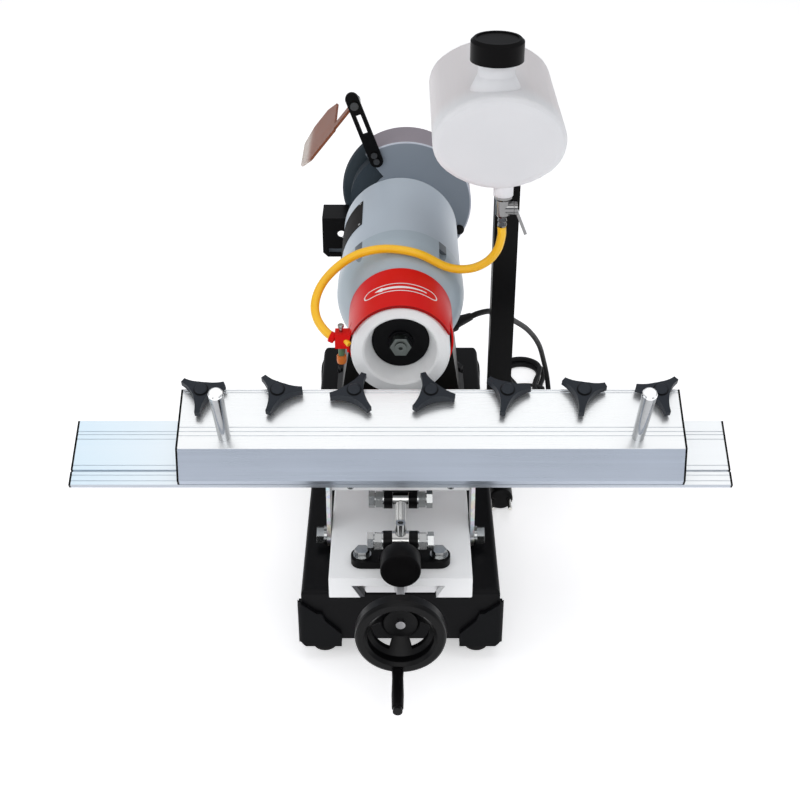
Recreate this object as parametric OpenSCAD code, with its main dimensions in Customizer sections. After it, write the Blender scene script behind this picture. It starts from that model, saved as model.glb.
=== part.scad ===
// Planer blade sharpening machine: a two-ended motor on a steel base, with a cup wheel in front,
// a guarded grinding wheel behind and a tilting rail that carries the blade past the cup wheel.
// +X points right, +Y points away from the operator, +Z points up. The origin is on the floor
// under the middle of the base.

/* [Base] */
// Width of the sheet-steel base
base_w = 196; // [188:1:206]
// Depth of the base from front to back
base_d = 490; // [480:1:520]
// Height of the base's flat top above the floor
base_top = 86; // [82:1:92]
// Height of the base's lower edge above the floor
skirt_z = 25; // [22:1:28]
// Thickness of the base's sheet
sheet_t = 2.5; // [2:0.1:3.5]
// Radius of the bent top edges
bend_r = 5; // [4:0.5:8]
// Radius of the upright corners at the back
back_r = 14; // [8:1:18]
// How far a corner guard stands out from the sheet
guard_t = 4; // [3:0.5:6]
// How far a corner guard reaches along each side
guard_l = 43; // [40:1:50]
// Height of the corner guards' lower edge above the floor
guard_z = 18; // [15:1:20]
// Diameter of a rubber foot
foot_d = 26; // [22:1:30]
// Distance of a foot's centre from the base's sides
foot_inset = 21; // [18:1:26]

/* [Dovetail slide] */
// Width of the dovetail way across its top
way_w = 85; // [80:1:90]
// Height of the dovetail way
way_h = 16; // [15:0.5:18]
// Length of the dovetail way
way_l = 257; // [250:1:270]
// Angle of the dovetail's flanks
dovetail_angle = 60; // [55:1:65]
// Thickness of the gib strip
gib_t = 4; // [3:0.5:5]
// Width of the saddle
saddle_w = 139; // [134:1:144]
// Length of the saddle
saddle_l = 190; // [180:1:200]
// Height of the saddle's block
saddle_h = 24; // [23:0.5:28]
// How far the saddle stands out past the way's front end
saddle_lead = 10; // [6:1:14]
// Diameter of the feed screw's thread
screw_d = 10; // [9:0.5:11]
// Outer diameter of the handwheel
handwheel_d = 85.5; // [78:0.5:92]
// Distance from the way's front end to the handwheel's front plane
handwheel_reach = 78; // [76:1:84]
// Length of the crank grip
grip_l = 50; // [40:1:60]

/* [Tilting rail] */
// Slope of the rail's top face at rest
rail_slope = 25; // [23:0.5:27]
// Length of the rail over its end caps
rail_l = 656; // [620:1:700]
// Width of the rail's top face
rail_w = 75; // [73:1:78]
// Thickness of the rail
rail_t = 7; // [6:0.5:8]
// Thickness of the cross plate under the rail
cross_t = 14; // [12:0.5:15]
// Distance from the saddle's front to the tilt pivot
pivot_back = 86; // [84:1:90]
// Height of the tilt pivot above the saddle's lower face
pivot_rise = 10.5; // [9:0.5:12]
// Thickness of the tilt brackets
bracket_t = 4; // [3:0.5:5]
// Diameter of the adjusting screw
rod_d = 12; // [10:1:12]
// Height of the adjusting screw above the saddle's top
rod_rise = 25; // [24:0.5:27]
// Diameter of the adjusting knob
tilt_knob_d = 38.5; // [30:0.5:40]

/* [Blade carriage] */
// Length of the carriage over its end caps
carriage_l = 500; // [490:1:560]
// Sideways place of the carriage on the rail
carriage_x = 30; // [0:1:40]
// Height of the carriage's top face above the rail
carriage_h = 33; // [32:0.5:36]
// Distance between neighbouring star knobs
knob_pitch = 76; // [72:1:78]
// Reach of a star knob's arms
knob_reach = 24.5; // [22:0.5:26]
// Diameter of a star knob's stud
stud_d = 8; // [6:1:8]
// Distance of a push handle from the carriage's middle
handle_x = 203; // [190:1:210]
// Diameter of a push handle's outer end
handle_d = 14.5; // [12:0.5:16]
// Length of a push handle
handle_l = 77; // [55:1:80]

/* [Motor and wheels] */
// Height of the spindle above the base's top
axis_rise = 185; // [182:1:190]
// Distance from the tilt pivot to the cup wheel's face
wheel_reach = 75; // [74:1:82]
// Diameter of the cup wheel
cup_d = 100; // [90:1:101]
// Length of the cup wheel
cup_l = 50; // [46:1:52]
// Inner diameter of the cup wheel's rim
cup_bore_d = 73; // [66:1:78]
// Outer diameter of the motor's end bells
bell_d = 137; // [134:1:140]
// Outer diameter of the motor's shell
shell_d = 133; // [130:1:133]
// Length of the motor's shell
shell_l = 149; // [145:1:155]
// Diameter of the rear grinding wheel
rear_wheel_d = 124; // [110:1:125]
// Diameter of the rear guard's drum
drum_d = 160; // [156:1:166]
// Depth of the rear guard's drum
drum_l = 52; // [50:1:58]

/* [Water supply] */
// Width of the water tank
tank_w = 133; // [124:1:138]
// Height of the water tank's body
tank_h = 96; // [90:1:100]
// Length of the water tank
tank_l = 195; // [180:1:210]
// Height of the tank's underside above the base's top
tank_rise = 326; // [322:1:334]
// Side of the square post
post_w = 25; // [22:1:28]
// Diameter of the tank's cap
cap_d = 53; // [48:1:56]
// Diameter of the hose
hose_d = 9; // [8:0.5:9.5]

/* [Hidden] */
$fn = 48;
run_gap = 0.05;
fit_gap = 0.1;
slide_gap = 0.2;
steel = "silver";
black = "#1c1c1e";
charcoal = "#3a3c40";
grey_paint = "#a5afb6";
red_paint = "#c81e1e";

// Places along the slide
way_front = -base_d / 2 - 2;
way_top = base_top + way_h;
way_back = way_front + way_l;
saddle_front = way_front - saddle_lead;
saddle_z = base_top + 2;
saddle_top = saddle_z + saddle_h;
roof_gap = 0.4;
end_wall = 6;
trough_w = 26;
screw_z = base_top + 9;
journal_d = screw_d - 2;
rear_wall = 25;
nut_w = 22;
nut_l = 30;
nut_y = saddle_front + 77;

// Places of the tilt linkage
pivot_y = saddle_front + pivot_back;
pivot_z = saddle_z + pivot_rise;
pivot_d = 10;
pivot_s = -18.7;
pivot_n = -69.7;
rail_y = pivot_y - pivot_s * cos(rail_slope) + pivot_n * sin(rail_slope);
rail_z = pivot_z - pivot_s * sin(rail_slope) - pivot_n * cos(rail_slope);
rod_z = saddle_top + rod_rise;
lower_y = saddle_front + 26;
upper_y = pivot_y + 9;
upper_s = (upper_y - rail_y) * cos(rail_slope) + (rod_z - rail_z) * sin(rail_slope);
upper_n = (rod_z - rail_z) * cos(rail_slope) - (upper_y - rail_y) * sin(rail_slope);
pin_d = 8;
set_screw_d = 10;
trunnion_d = 20;
trunnion_half = 8;
ear_t = 8.5;
clevis_w = 97;
clevis_d = 24;
clevis_t = 8;
clevis_bolt_x = 37.5;
bracket_in = saddle_w / 2 + 1;
bracket_r = 11;
flange_out = 101;
flange_bolts = [22, 52];
flange_bolt_x = 88;
cap_t = 2;

// Places on the carriage, along the rail's face and square to it
lip_t = 3;
lip_gap = 0.5;
foot_s = 0.3;
foot_n = 7.3;
guide_s = 16.3;
guide_w = 2;
guide_deep = 2.2;
carriage_back = 91.5;
ridge_s = 22;
slot_floor = carriage_h - 20;
slot_roof = carriage_h - 5;
slot_end = 62;
knob_s = 82;
handle_s = 36;
knob_turns = [24, 9, 68, -12, 17, 21, 43];

// Places along the spindle
axis_z = base_top + axis_rise;
cup_face = pivot_y + wheel_reach;
cup_back = cup_face + cup_l;
cup_wall = 20;
cup_floor = cup_back - cup_wall;
cup_floor_d = 54.4;
flange_t = 5;
nose_y = cup_back + 9;
bell_l = 84;
shell_y = nose_y + bell_l;
shell_back = shell_y + shell_l;
drum_y = shell_back + 74;
drum_x = 7;
drum_rise = 2;
drum_t = 3;
open_from = 128;
open_to = 205;
hood_d = cup_d + 8;
hood_front = cup_face - 5;
hood_back = nose_y + 21;
hood_step = cup_face + 22;
clip_y = cup_face + 13;
clip_z = axis_z + 8;
bearing_d = 40;
bearing_t = 12;
bearing_bore = 17;
shaft_d = 22;
rear_shaft_d = 16;
rear_wheel_y = drum_y + 15;
rear_wheel_t = 20;
ped_front = shell_y + 13;
ped_l = 125;
ped_bolt_x = 70;
tie_bolt_angles = [-41, 41, 139, -139];

// Places of the eye shield and the tool rest
arm_foot = [-29, axis_z + 59];
arm_tip = [-57.5, axis_z + 136];
arm_w = 16;
arm_screws = [0, 0.1];
arm_screw_d = 5;
arm_t = 4;
arm_len = norm(arm_tip - arm_foot);
arm_dir = (arm_tip - arm_foot) / arm_len;
shield_pin = arm_foot + 0.9 * (arm_tip - arm_foot);
shield_low = [-121, axis_z + 45];
shield_len = norm(shield_low - shield_pin);
shield_angle = atan2(shield_low[1] - shield_pin[1], shield_low[0] - shield_pin[0]);
rest_y = drum_y - 8;
rest_t = 4;
rest_top = axis_z - 14;
rest_left = -97;
rest_bolt = [-67, axis_z - 58];

// Places of the tank
post_x = base_w / 2;
post_y = 19;
tank_x = 97.5;
tank_z = base_top + tank_rise;
tank_y = -20;
tank_r = 38;
tank_edge = 8;
tank_wall = 2.5;
neck_y = 20;
neck_x = 94;
neck_d = 37;
spout_x = 103.5;
spout_y = -6;
spout_l = 10;
cock_z = tank_z - spout_l;
cock_l = 35;
lever_z = cock_z - 14;

// Places of the mains lead, and the routes of the hose and the lead
cord_d = 6.5;
gland_angle = 40;
gland_at = [52, nose_y + 73, axis_z - 42];
gland_l = 34;
hank_at = [165.5, 269];
hank_run = 100;
hank_fold = 19.6;
hank_step = 7.2;
hank_waist = 10;
hank_layer = 7.1;
hank_start = 0.25;
hank_end = 3.375;
hank_climb = 1.5;
plug_at = [117, 8];
plug_d = 28;
gland_end = gland_at + gland_l * [cos(gland_angle), sin(gland_angle), 0];
hose_over = [[99.9, -5.3, 69.9], [89.6, -3.7, 55.3], [72.3, -1.9, 46.4], [50.3, -0.7, 47.1],
    [18.8, -2.6, 63.7], [-8.1, 1.4, 67.3], [-30, -1, 67], [-50, -3.7, 60.9], [-69, -14.6, 50.8],
    [-82.1, -35.4, 42], [-87.2, -52, 30.8], [-84.6, -65.3, 21], [-76.1, -76.2, 12.9]];
hose_route = concat([[spout_x, spout_y, cock_z - cock_l], [spout_x, spout_y, cock_z - cock_l - 10.5]],
    [for (q = hose_over) q + [0, nose_y + 37, axis_z]], [[-66.2, clip_y, clip_z]]);
hose_end = hose_route[len(hose_route) - 1];
hose_way = hose_end - hose_route[len(hose_route) - 2];
cord_route = [gland_end, gland_end + 11.7 * [cos(gland_angle), sin(gland_angle), 0], [100, 80, 224],
    [116, 106, 206], [136, 146, 176], [158, 192, 138], [177, 234, 94], [188, 257, 54], [193, 259, 32],
    [195, 247, 16], [195, 232, 10.5], [195, 219.4, 10.35]];
plug_back = plug_at + [0, 54];
lead_route = [[165.1, 186.8, 3.25], [152, 186, 3.25], [138, 178, 3.25], [127, 160, 3.25],
    [120, 136, 3.25], [plug_at[0], 112, 3.6], [plug_at[0], 98, 6.2], [plug_at[0], 84, 11.2],
    [plug_at[0], 72, plug_d / 2], [plug_back[0], plug_back[1], plug_d / 2]];

// A child in the rail's own frame: X along the rail, Y up its slope, Z square to its face
module on_rail() {
    translate([0, rail_y, rail_z]) rotate([rail_slope, 0, 0]) children();
}

// A flat outline drawn along the slope and square to it, drawn out along X about the middle
module along_rail(length, middle = 0) {
    sideways(middle - length / 2, length) children();
}

// A child turned about the spindle, with its own Z pointing back
module along_spindle(y) {
    translate([0, y, axis_z]) rotate([-90, 0, 0]) children();
}

// A flat outline in X and Z, drawn out from y towards the back
module upright(y, depth) {
    translate([0, y + depth, 0]) rotate([90, 0, 0]) linear_extrude(depth) children();
}

// A flat outline in Y and Z, drawn out from x towards the right
module sideways(x, width) {
    translate([x, 0, 0]) rotate([90, 0, 90]) linear_extrude(width) children();
}

module rounded_rect(w, h, r) {
    square([w - 2 * r, h], center = true);
    square([w, h - 2 * r], center = true);
    for (x = [-1, 1], y = [-1, 1]) translate([x * (w / 2 - r), y * (h / 2 - r)]) circle(r);
}

// A hexagon bolt with a washer: the seat is at z = 0, the shank points down
module hex_bolt(d, length, washer_d, washer_t, head_t) {
    translate([0, 0, -length]) cylinder(d = d, h = length + 0.5);
    cylinder(d = washer_d, h = washer_t);
    translate([0, 0, washer_t]) cylinder(d = 1.87 * d, h = head_t, $fn = 6);
}

module hex_nut(d, height, across) {
    difference() {
        cylinder(d = across / cos(30), h = height, $fn = 6);
        translate([0, 0, -1]) cylinder(d = d, h = height + 2);
    }
}

// A point on the smooth curve through the route's points
function spline_point(p, i, t) =
    let (a = p[max(i - 1, 0)], b = p[i], c = p[i + 1], d = p[min(i + 2, len(p) - 1)])
    0.5 * (2 * b + (c - a) * t + (2 * a - 5 * b + 4 * c - d) * t * t
        + (3 * b - a - 3 * c + d) * t * t * t);
function spline(p, steps) = concat(
    [for (i = [0 : len(p) - 2], k = [0 : steps - 1]) spline_point(p, i, k / steps)],
    [p[len(p) - 1]]);
function unit(v) = v / norm(v);
function tangents(p) = [for (i = [0 : len(p) - 1])
    unit(p[min(i + 1, len(p) - 1)] - p[max(i - 1, 0)])];
function carried(t, i, n) = i == len(t) ? []
    : let (m = unit(n - (n * t[i]) * t[i])) concat([m], carried(t, i + 1, m));
function path_length(p) = len(p) < 2 ? 0
    : [for (i = 1, s = norm(p[1] - p[0]); i < len(p); i = i + 1,
        s = s + (i < len(p) ? norm(p[i] - p[i - 1]) : 0)) s][len(p) - 2];

// A closed skin over rings of points that follow one another, each with as many points
module skin(points, rings, sides) {
    last = (rings - 1) * sides;
    walls = [for (i = [0 : rings - 2], j = [0 : sides - 1], k = [0, 1])
        let (a = i * sides + j, b = i * sides + (j + 1) % sides)
        k == 0 ? [a, a + sides, b + sides] : [a, b + sides, b]];
    start_cap = [for (j = [1 : sides - 2]) [0, j, j + 1]];
    end_cap = [for (j = [1 : sides - 2]) [last, last + j + 1, last + j]];
    polyhedron(points, concat(walls, start_cap, end_cap), convexity = 10);
}

// A round tube swept along a list of points, square to its first and last stretch
module swept_tube(path, d, sides) {
    t = tangents(path);
    n = carried(t, 0, unit(cross(t[0], [0.2, 0.3, 1])));
    points = [for (i = [0 : len(path) - 1], j = [0 : sides - 1])
        path[i] + d / 2 * (cos(360 * j / sides) * n[i] + sin(360 * j / sides) * cross(t[i], n[i]))];
    skin(points, len(path), sides);
}

// The hank: loops that spiral in on the upper layer, climb down along one run and spiral out again
function hank_radius(u) = hank_fold + hank_step * abs(u - hank_climb - 0.125);
function hank_height(u) = cord_d / 2
    + hank_layer * (u < hank_climb ? 1 : u > hank_climb + 0.25 ? 0 : (hank_climb + 0.25 - u) * 4);
function hank_point(u) =
    let (q = (u - floor(u)) * 4, side = floor(q), f = q - side, r = hank_radius(u),
        drawn = r - hank_waist * pow(sin(180 * f), 2), half = hank_run / 2)
    [hank_at[0], hank_at[1], hank_height(u)] + (
        side == 0 ? [drawn, half - f * hank_run, 0]
        : side == 1 ? [r * cos(180 * f), -half - r * sin(180 * f), 0]
        : side == 2 ? [-drawn, -half + f * hank_run, 0]
        : [-r * cos(180 * f), half + r * sin(180 * f), 0]);
hank_rings = round((hank_end - hank_start) * 24);
hank_path = [for (i = [0 : hank_rings])
    hank_point(hank_start + (hank_end - hank_start) * i / hank_rings)];
hank_self_gap = min([for (i = [0 : hank_rings - 12], j = [i + 12 : hank_rings])
    norm(hank_path[i] - hank_path[j])]) - cord_d;

// The base's outline from above, grown on every side
module base_plan(grow, front_corner_r) {
    w = base_w + 2 * grow;
    d = base_d + 2 * grow;
    r = back_r + grow;
    f = front_corner_r;
    translate([-w / 2, -d / 2 + f]) square([w, d - f - r]);
    translate([-w / 2 + f, -d / 2]) square([w - 2 * f, f]);
    translate([-w / 2 + r, d / 2 - r]) square([w - 2 * r, r]);
    for (x = [-1, 1]) {
        translate([x * (w / 2 - r), d / 2 - r]) circle(r);
        translate([x * (w / 2 - f), -d / 2 + f]) circle(f);
    }
}

module bent_profile(width, top, bottom, r) {
    translate([-width / 2, bottom]) square([width, top - r - bottom]);
    translate([-width / 2 + r, bottom]) square([width - 2 * r, top - bottom]);
    for (x = [-1, 1]) translate([x * (width / 2 - r), top - r]) circle(r);
}

module base_block(inset) {
    bottom = skirt_z - inset;
    intersection() {
        translate([0, 0, bottom]) linear_extrude(base_top - inset - bottom)
            base_plan(-inset, 1);
        upright(-base_d, 2 * base_d)
            bent_profile(base_w - 2 * inset, base_top - inset, bottom, bend_r - inset / 2);
        sideways(-base_w, 2 * base_w)
            bent_profile(base_d - 2 * inset, base_top - inset, bottom, bend_r - inset / 2);
    }
}

module pedestal_bolt_places() {
    for (x = [-1, 1], y = [ped_front + 14, ped_front + ped_l - 14])
        translate([x * ped_bolt_x, y, 0]) children();
}

module post_bolt_places() {
    for (z = [skirt_z + 23, skirt_z + 47])
        translate([post_x, post_y + post_w / 2, z]) rotate([0, 90, 0]) children();
}

module base_housing() {
    color(black) difference() {
        base_block(0);
        base_block(sheet_t);
        pedestal_bolt_places() cylinder(d = 8.4, h = 200);
        post_bolt_places() translate([0, 0, -20]) cylinder(d = 8.4, h = 30);
    }
}

// One face of a corner guard: distance from the corner, and height
module guard_outline() {
    top = base_top - 10.5;
    polygon([[0, top], [19, guard_z + 42], [24, guard_z + 42], [27, guard_z + 33],
        [guard_l, guard_z + 16], [guard_l, guard_z], [7, guard_z], [2.5, guard_z + 4.6],
        [0, guard_z + 4.6]]);
}

module guard_corner() {
    deep = guard_t + back_r;
    shelf = 12;
    module front_face(depth) translate([0, depth, 0]) rotate([90, 0, 0]) linear_extrude(depth)
        guard_outline();
    module side_face(depth) mirror([1, -1, 0]) front_face(depth);
    front_face(guard_t);
    side_face(guard_t);
    intersection() {
        front_face(deep);
        side_face(deep);
    }
    translate([0, 0, guard_z]) linear_extrude(skirt_z - guard_z)
        polygon([[7, 7], [guard_l, 7], [guard_l, shelf + 7], [shelf + 7, guard_l], [7, guard_l]]);
}

module corner_guards() {
    color(charcoal) difference() {
        intersection() {
            for (x = [0, 1], y = [0, 1]) mirror([x, 0, 0]) mirror([0, y, 0])
                translate([-base_w / 2 - guard_t, -base_d / 2 - guard_t, 0]) guard_corner();
            linear_extrude(base_top) base_plan(guard_t, 6);
        }
        base_block(0);
        translate([0, 0, skirt_z]) linear_extrude(base_top) base_plan(0, 1);
    }
}

module rubber_feet() {
    r = foot_d / 2;
    color(black) for (x = [-1, 1], y = [-1, 1])
        translate([x * (base_w / 2 - foot_inset), y * (base_d / 2 - foot_inset), 0])
            rotate_extrude() polygon([[4, 6], [4, 0], [r - 3, 0], [r - 0.8, 1.2], [r, 4],
                [r, guard_z - 5], [r - 2, guard_z], [0, guard_z], [0, 6]]);
}

function flank(z) = way_w / 2 - (way_top - z) / tan(dovetail_angle);

module dovetail_way() {
    color("gainsboro") difference() {
        upright(way_front, way_l) polygon([[-flank(base_top), base_top], [flank(base_top), base_top],
            [way_w / 2, way_top], [-way_w / 2, way_top]]);
        translate([-trough_w / 2, way_front + end_wall, base_top + 1])
            cube([trough_w, way_l - end_wall - rear_wall, way_h]);
        translate([0, way_front - 1, screw_z]) rotate([-90, 0, 0])
            cylinder(d = journal_d + 2 * run_gap, h = way_l + 2);
    }
}

module saddle_groove() {
    low = saddle_z - 1;
    roof = way_top + roof_gap;
    gib_side = slide_gap + gib_t / sin(dovetail_angle);
    polygon([[flank(low) + slide_gap, low], [flank(roof) + slide_gap, roof],
        [-flank(roof) - gib_side, roof], [-flank(low) - gib_side, low]]);
}

module gib_screw_places() {
    for (y = [saddle_front + 25, saddle_front + saddle_l - 35])
        translate([-saddle_w / 2, y, saddle_z + 7]) rotate([0, -90, 0]) children();
}

module clevis_bolt_places() {
    for (x = [-1, 1]) translate([x * clevis_bolt_x, lower_y, 0]) children();
}

module saddle() {
    color("white") difference() {
        upright(saddle_front, saddle_l) translate([0, (saddle_z + saddle_top) / 2])
            rounded_rect(saddle_w, saddle_h, 1.5);
        upright(saddle_front - 1, saddle_l + 2) saddle_groove();
        for (x = [-1, 1]) translate([x * saddle_w / 2, pivot_y, pivot_z]) rotate([0, 90, 0])
            cylinder(d = pivot_d + 2 * fit_gap, h = 40, center = true);
        clevis_bolt_places() translate([0, 0, saddle_top - 8]) cylinder(d = 8.2, h = 10);
        gib_screw_places() translate([0, 0, -30]) cylinder(d = 6.2, h = 40);
    }
}

module gib_strip() {
    low = saddle_z + 0.5;
    high = way_top - 0.1;
    outer = slide_gap + gib_t / sin(dovetail_angle);
    color("dimgray") upright(saddle_front + 0.5, saddle_l - 1)
        polygon([[-flank(low) - slide_gap, low], [-flank(high) - slide_gap, high],
            [-flank(high) - outer, high], [-flank(low) - outer, low]]);
}

module feed_nut() {
    color("goldenrod") difference() {
        translate([-nut_w / 2, nut_y, base_top + 1.6])
            cube([nut_w, nut_l, way_top + roof_gap - base_top - 1.6]);
        translate([0, nut_y - 1, screw_z]) rotate([-90, 0, 0])
            cylinder(d = screw_d + 2 * run_gap, h = nut_l + 2);
    }
}

module feed_screw() {
    front = way_front - handwheel_reach + 19;
    collar_t = 5;
    color(steel) translate([0, 0, screw_z]) rotate([-90, 0, 0]) {
        translate([0, 0, front]) cylinder(d = 9, h = 3);
        translate([0, 0, front + 2]) cylinder(d = journal_d, h = way_back - 4 - front);
        translate([0, 0, way_front - 0.3 - collar_t]) cylinder(d = screw_d + 3, h = collar_t);
        translate([0, 0, way_front + end_wall + 0.3])
            cylinder(d = screw_d, h = way_l - end_wall - rear_wall - 0.6);
    }
}

crank_r = handwheel_d / 2 - 4.2;
crank_angle = 184;
crank_d = 5;
handwheel_y = way_front - handwheel_reach;

module at_crank(y) {
    translate([0, y, screw_z]) rotate([-90, 0, 0]) rotate([0, 0, crank_angle])
        translate([0, -crank_r, 0]) children();
}

module handwheel() {
    r = handwheel_d / 2;
    hub = 16;
    rim_w = 11.5;
    rim_l = 15;
    hub_front = 22;
    hub_l = 19;
    color(black) difference() {
        translate([0, handwheel_y, screw_z]) rotate([-90, 0, 0]) rotate_extrude() {
            polygon([[r - rim_w + 3, 0], [r - 2.5, 0], [r - 0.7, 1.2], [r, 3.5], [r, rim_l - 2], [r - 2, rim_l],
                [r - rim_w + 2, rim_l], [r - rim_w, rim_l - 3], [r - rim_w, 3]]);
            polygon([[r - rim_w + 1, rim_l - 5], [r - rim_w + 1, rim_l], [hub - 1, hub_front + 9],
                [hub - 1, hub_front + 3]]);
            translate([0, hub_front]) square([hub, hub_l]);
        }
        translate([0, handwheel_y, screw_z]) rotate([-90, 0, 0])
            cylinder(d = journal_d + 2 * run_gap, h = 60);
        for (a = [0, 120, 240]) translate([0, handwheel_y + 3, screw_z]) rotate([-90, 0, 0])
            rotate([0, 0, a + 30]) linear_extrude(40) intersection() {
                difference() {
                    circle(r - rim_w - 4);
                    circle(hub + 2.5);
                }
                polygon([[0, 0], [2 * r * cos(37), -2 * r * sin(37)], [2 * r * cos(37), 2 * r * sin(37)]]);
            }
        at_crank(handwheel_y - 1) cylinder(d = crank_d + 2 * run_gap, h = 11);
    }
    color(steel) {
        at_crank(handwheel_y - grip_l - 1.4) cylinder(d = crank_d, h = grip_l + 11);
        at_crank(handwheel_y - grip_l - 4.4) cylinder(d = 9, h = 3.2);
    }
}

module crank_grip() {
    color(black) difference() {
        at_crank(handwheel_y - grip_l - 0.9) rotate_extrude() polygon([[0, 0], [4.6, 0], [5.4, 1.5],
            [5.8, grip_l * 0.35], [5.3, grip_l * 0.8], [5.6, grip_l - 1.5], [5, grip_l], [0, grip_l]]);
        at_crank(handwheel_y - grip_l - 2) cylinder(d = crank_d + 2 * run_gap, h = grip_l + 4);
    }
}

module ear_outline(top) {
    translate([-trunnion_d / 2, 0]) square([trunnion_d, top]);
    translate([0, top]) circle(d = trunnion_d);
}

module lower_clevis() {
    color(black) difference() {
        union() {
            translate([0, lower_y, saddle_top]) linear_extrude(clevis_t)
                rounded_rect(clevis_w, clevis_d, clevis_d / 2 - 1);
            for (x = [trunnion_half + slide_gap, -trunnion_half - slide_gap - ear_t])
                translate([0, lower_y, saddle_top]) sideways(x, ear_t) ear_outline(rod_rise);
        }
        clevis_bolt_places() translate([0, 0, saddle_top - 1]) cylinder(d = 8.4, h = clevis_t + 2);
        translate([-50, lower_y, rod_z]) rotate([0, 90, 0]) cylinder(d = pin_d + 2 * fit_gap, h = 100);
    }
}

module trunnion_nut() {
    color(steel) difference() {
        translate([-trunnion_half, lower_y, rod_z]) rotate([0, 90, 0])
            cylinder(d = trunnion_d, h = 2 * trunnion_half);
        translate([0, lower_y - 20, rod_z]) rotate([-90, 0, 0])
            cylinder(d = rod_d + 2 * run_gap, h = 40);
        for (x = [-1, 1]) translate([x * (trunnion_half + 2), lower_y, rod_z]) rotate([0, -90 * x, 0])
            cylinder(d = pin_d + 2 * fit_gap, h = 3.7);
        translate([0, lower_y, rod_z]) cylinder(d = set_screw_d + 2 * fit_gap, h = 20);
    }
}

module pin_bolts(y, z, reach) {
    for (x = [-1, 1])
        translate([x * (trunnion_half + slide_gap + ear_t), y, z]) rotate([0, 90 * x, 0]) {
            hex_bolt(pin_d, ear_t + slide_gap + reach, 19, 1.5, 1);
            translate([0, 0, 1.5]) cylinder(d = 18, h = 7, $fn = 6);
            translate([0, 0, 8]) cylinder(d = 13, h = 2);
            translate([0, 0, 9.5]) rotate(20) cylinder(d = 18, h = 6, $fn = 6);
        }
}

module saddle_bolts() {
    pivot_gap = 0.3;
    seat = bracket_in + bracket_t + pivot_gap;
    color(steel) {
        clevis_bolt_places() translate([0, 0, saddle_top + clevis_t]) hex_bolt(8, clevis_t + 7.5, 18, 1.6, 5.5);
        pin_bolts(lower_y, rod_z, 1.5);
        for (x = [-1, 1]) translate([x * seat, pivot_y, pivot_z]) rotate([0, 90 * x, 0])
            hex_bolt(pivot_d, seat - saddle_w / 2 + 18, 19, 3, 7.5);
        gib_screw_places() translate([0, 0, -22]) cylinder(d = 6, h = 21.4);
        difference() {
            translate([0, lower_y, rod_z + 7]) cylinder(d = set_screw_d, h = 15);
            translate([0, lower_y, rod_z + 17]) cylinder(d = 5.8, h = 6, $fn = 6);
        }
    }
}

module swivel_block() {
    r = 9.5;
    color(steel) difference() {
        translate([-trunnion_half, upper_y, rod_z]) rotate([0, 90, 0])
            cylinder(r = r, h = 2 * trunnion_half);
        translate([0, upper_y - 20, rod_z]) rotate([-90, 0, 0])
            cylinder(d = rod_d - 3 + 2 * run_gap, h = 40);
        for (x = [-1, 1]) translate([x * (trunnion_half + 1), upper_y, rod_z]) rotate([0, -90 * x, 0])
            cylinder(d = pin_d + 3, h = 3.8);
    }
}

module adjusting_screw() {
    knob_front = lower_y - 47.5;
    knob_l = 22.5;
    shoulder = upper_y - 10;
    r = tilt_knob_d / 2;
    translate([0, 0, rod_z]) rotate([-90, 0, 0]) {
        color(black) translate([0, 0, knob_front]) rotate_extrude() polygon([[0, 1], [r - 6, 0.6],
            [r - 3, 0], [r - 1, 0.6], [r, 2.5], [r, knob_l - 2], [r - 1.5, knob_l], [0, knob_l]]);
        color(steel) {
            translate([0, 0, knob_front + knob_l]) cylinder(d = rod_d, h = shoulder - knob_front - knob_l);
            translate([0, 0, shoulder]) cylinder(d = rod_d - 3, h = 24);
            translate([0, 0, upper_y + 10]) cylinder(d = rod_d + 1, h = 4);
        }
    }
}

module flange_bolt_places() {
    for (x = [-1, 1], s = flange_bolts) translate([x * flange_bolt_x, s, 0]) children();
}

groove_w = 0.8;
groove_deep = 0.5;
rail_grooves = [4.9, 11.3, 22.6, 53.2, 58.7, 62.3];
carriage_grooves = [36.8, 41.7, 46.6, 87.5, 90];

module grooves(places, top) {
    for (s = places) translate([s - groove_w / 2, top - groove_deep]) square([groove_w, 2]);
}

module rail_outline() {
    polygon([[0, 0], [rail_w, 0], [rail_w, -rail_t], [5, -rail_t], [0, -5]]);
}

// Groove of the rail and its end caps in which the carriage's rib runs
module guide_groove() {
    translate([guide_s - guide_w / 2 - slide_gap, -guide_deep - 0.4])
        square([guide_w + 2 * slide_gap, guide_deep + 2]);
}

module rail_beam() {
    color("whitesmoke") on_rail() difference() {
        along_rail(rail_l - 2 * cap_t) difference() {
            rail_outline();
            grooves(rail_grooves, 0);
            guide_groove();
        }
        flange_bolt_places() translate([0, 0, -rail_t - 1]) cylinder(d = 6.2, h = 6);
    }
}

module rail_end_caps() {
    color(black) on_rail() for (x = [-1, 1])
        along_rail(cap_t, x * (rail_l - cap_t) / 2) difference() {
            rail_outline();
            guide_groove();
        }
}

module cross_plate() {
    half = bracket_in - 1.5;
    color("white") on_rail() translate([-half, 6, -rail_t - cross_t]) cube([2 * half, 58, cross_t]);
}

module bracket_outline() {
    polygon([[8, -rail_t], [66, -rail_t], [66, -rail_t - 11], [pivot_s + 6.6, pivot_n - 8.8],
        [pivot_s - 10.6, pivot_n + 2.94]]);
    translate([pivot_s, pivot_n]) circle(bracket_r);
}

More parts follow.
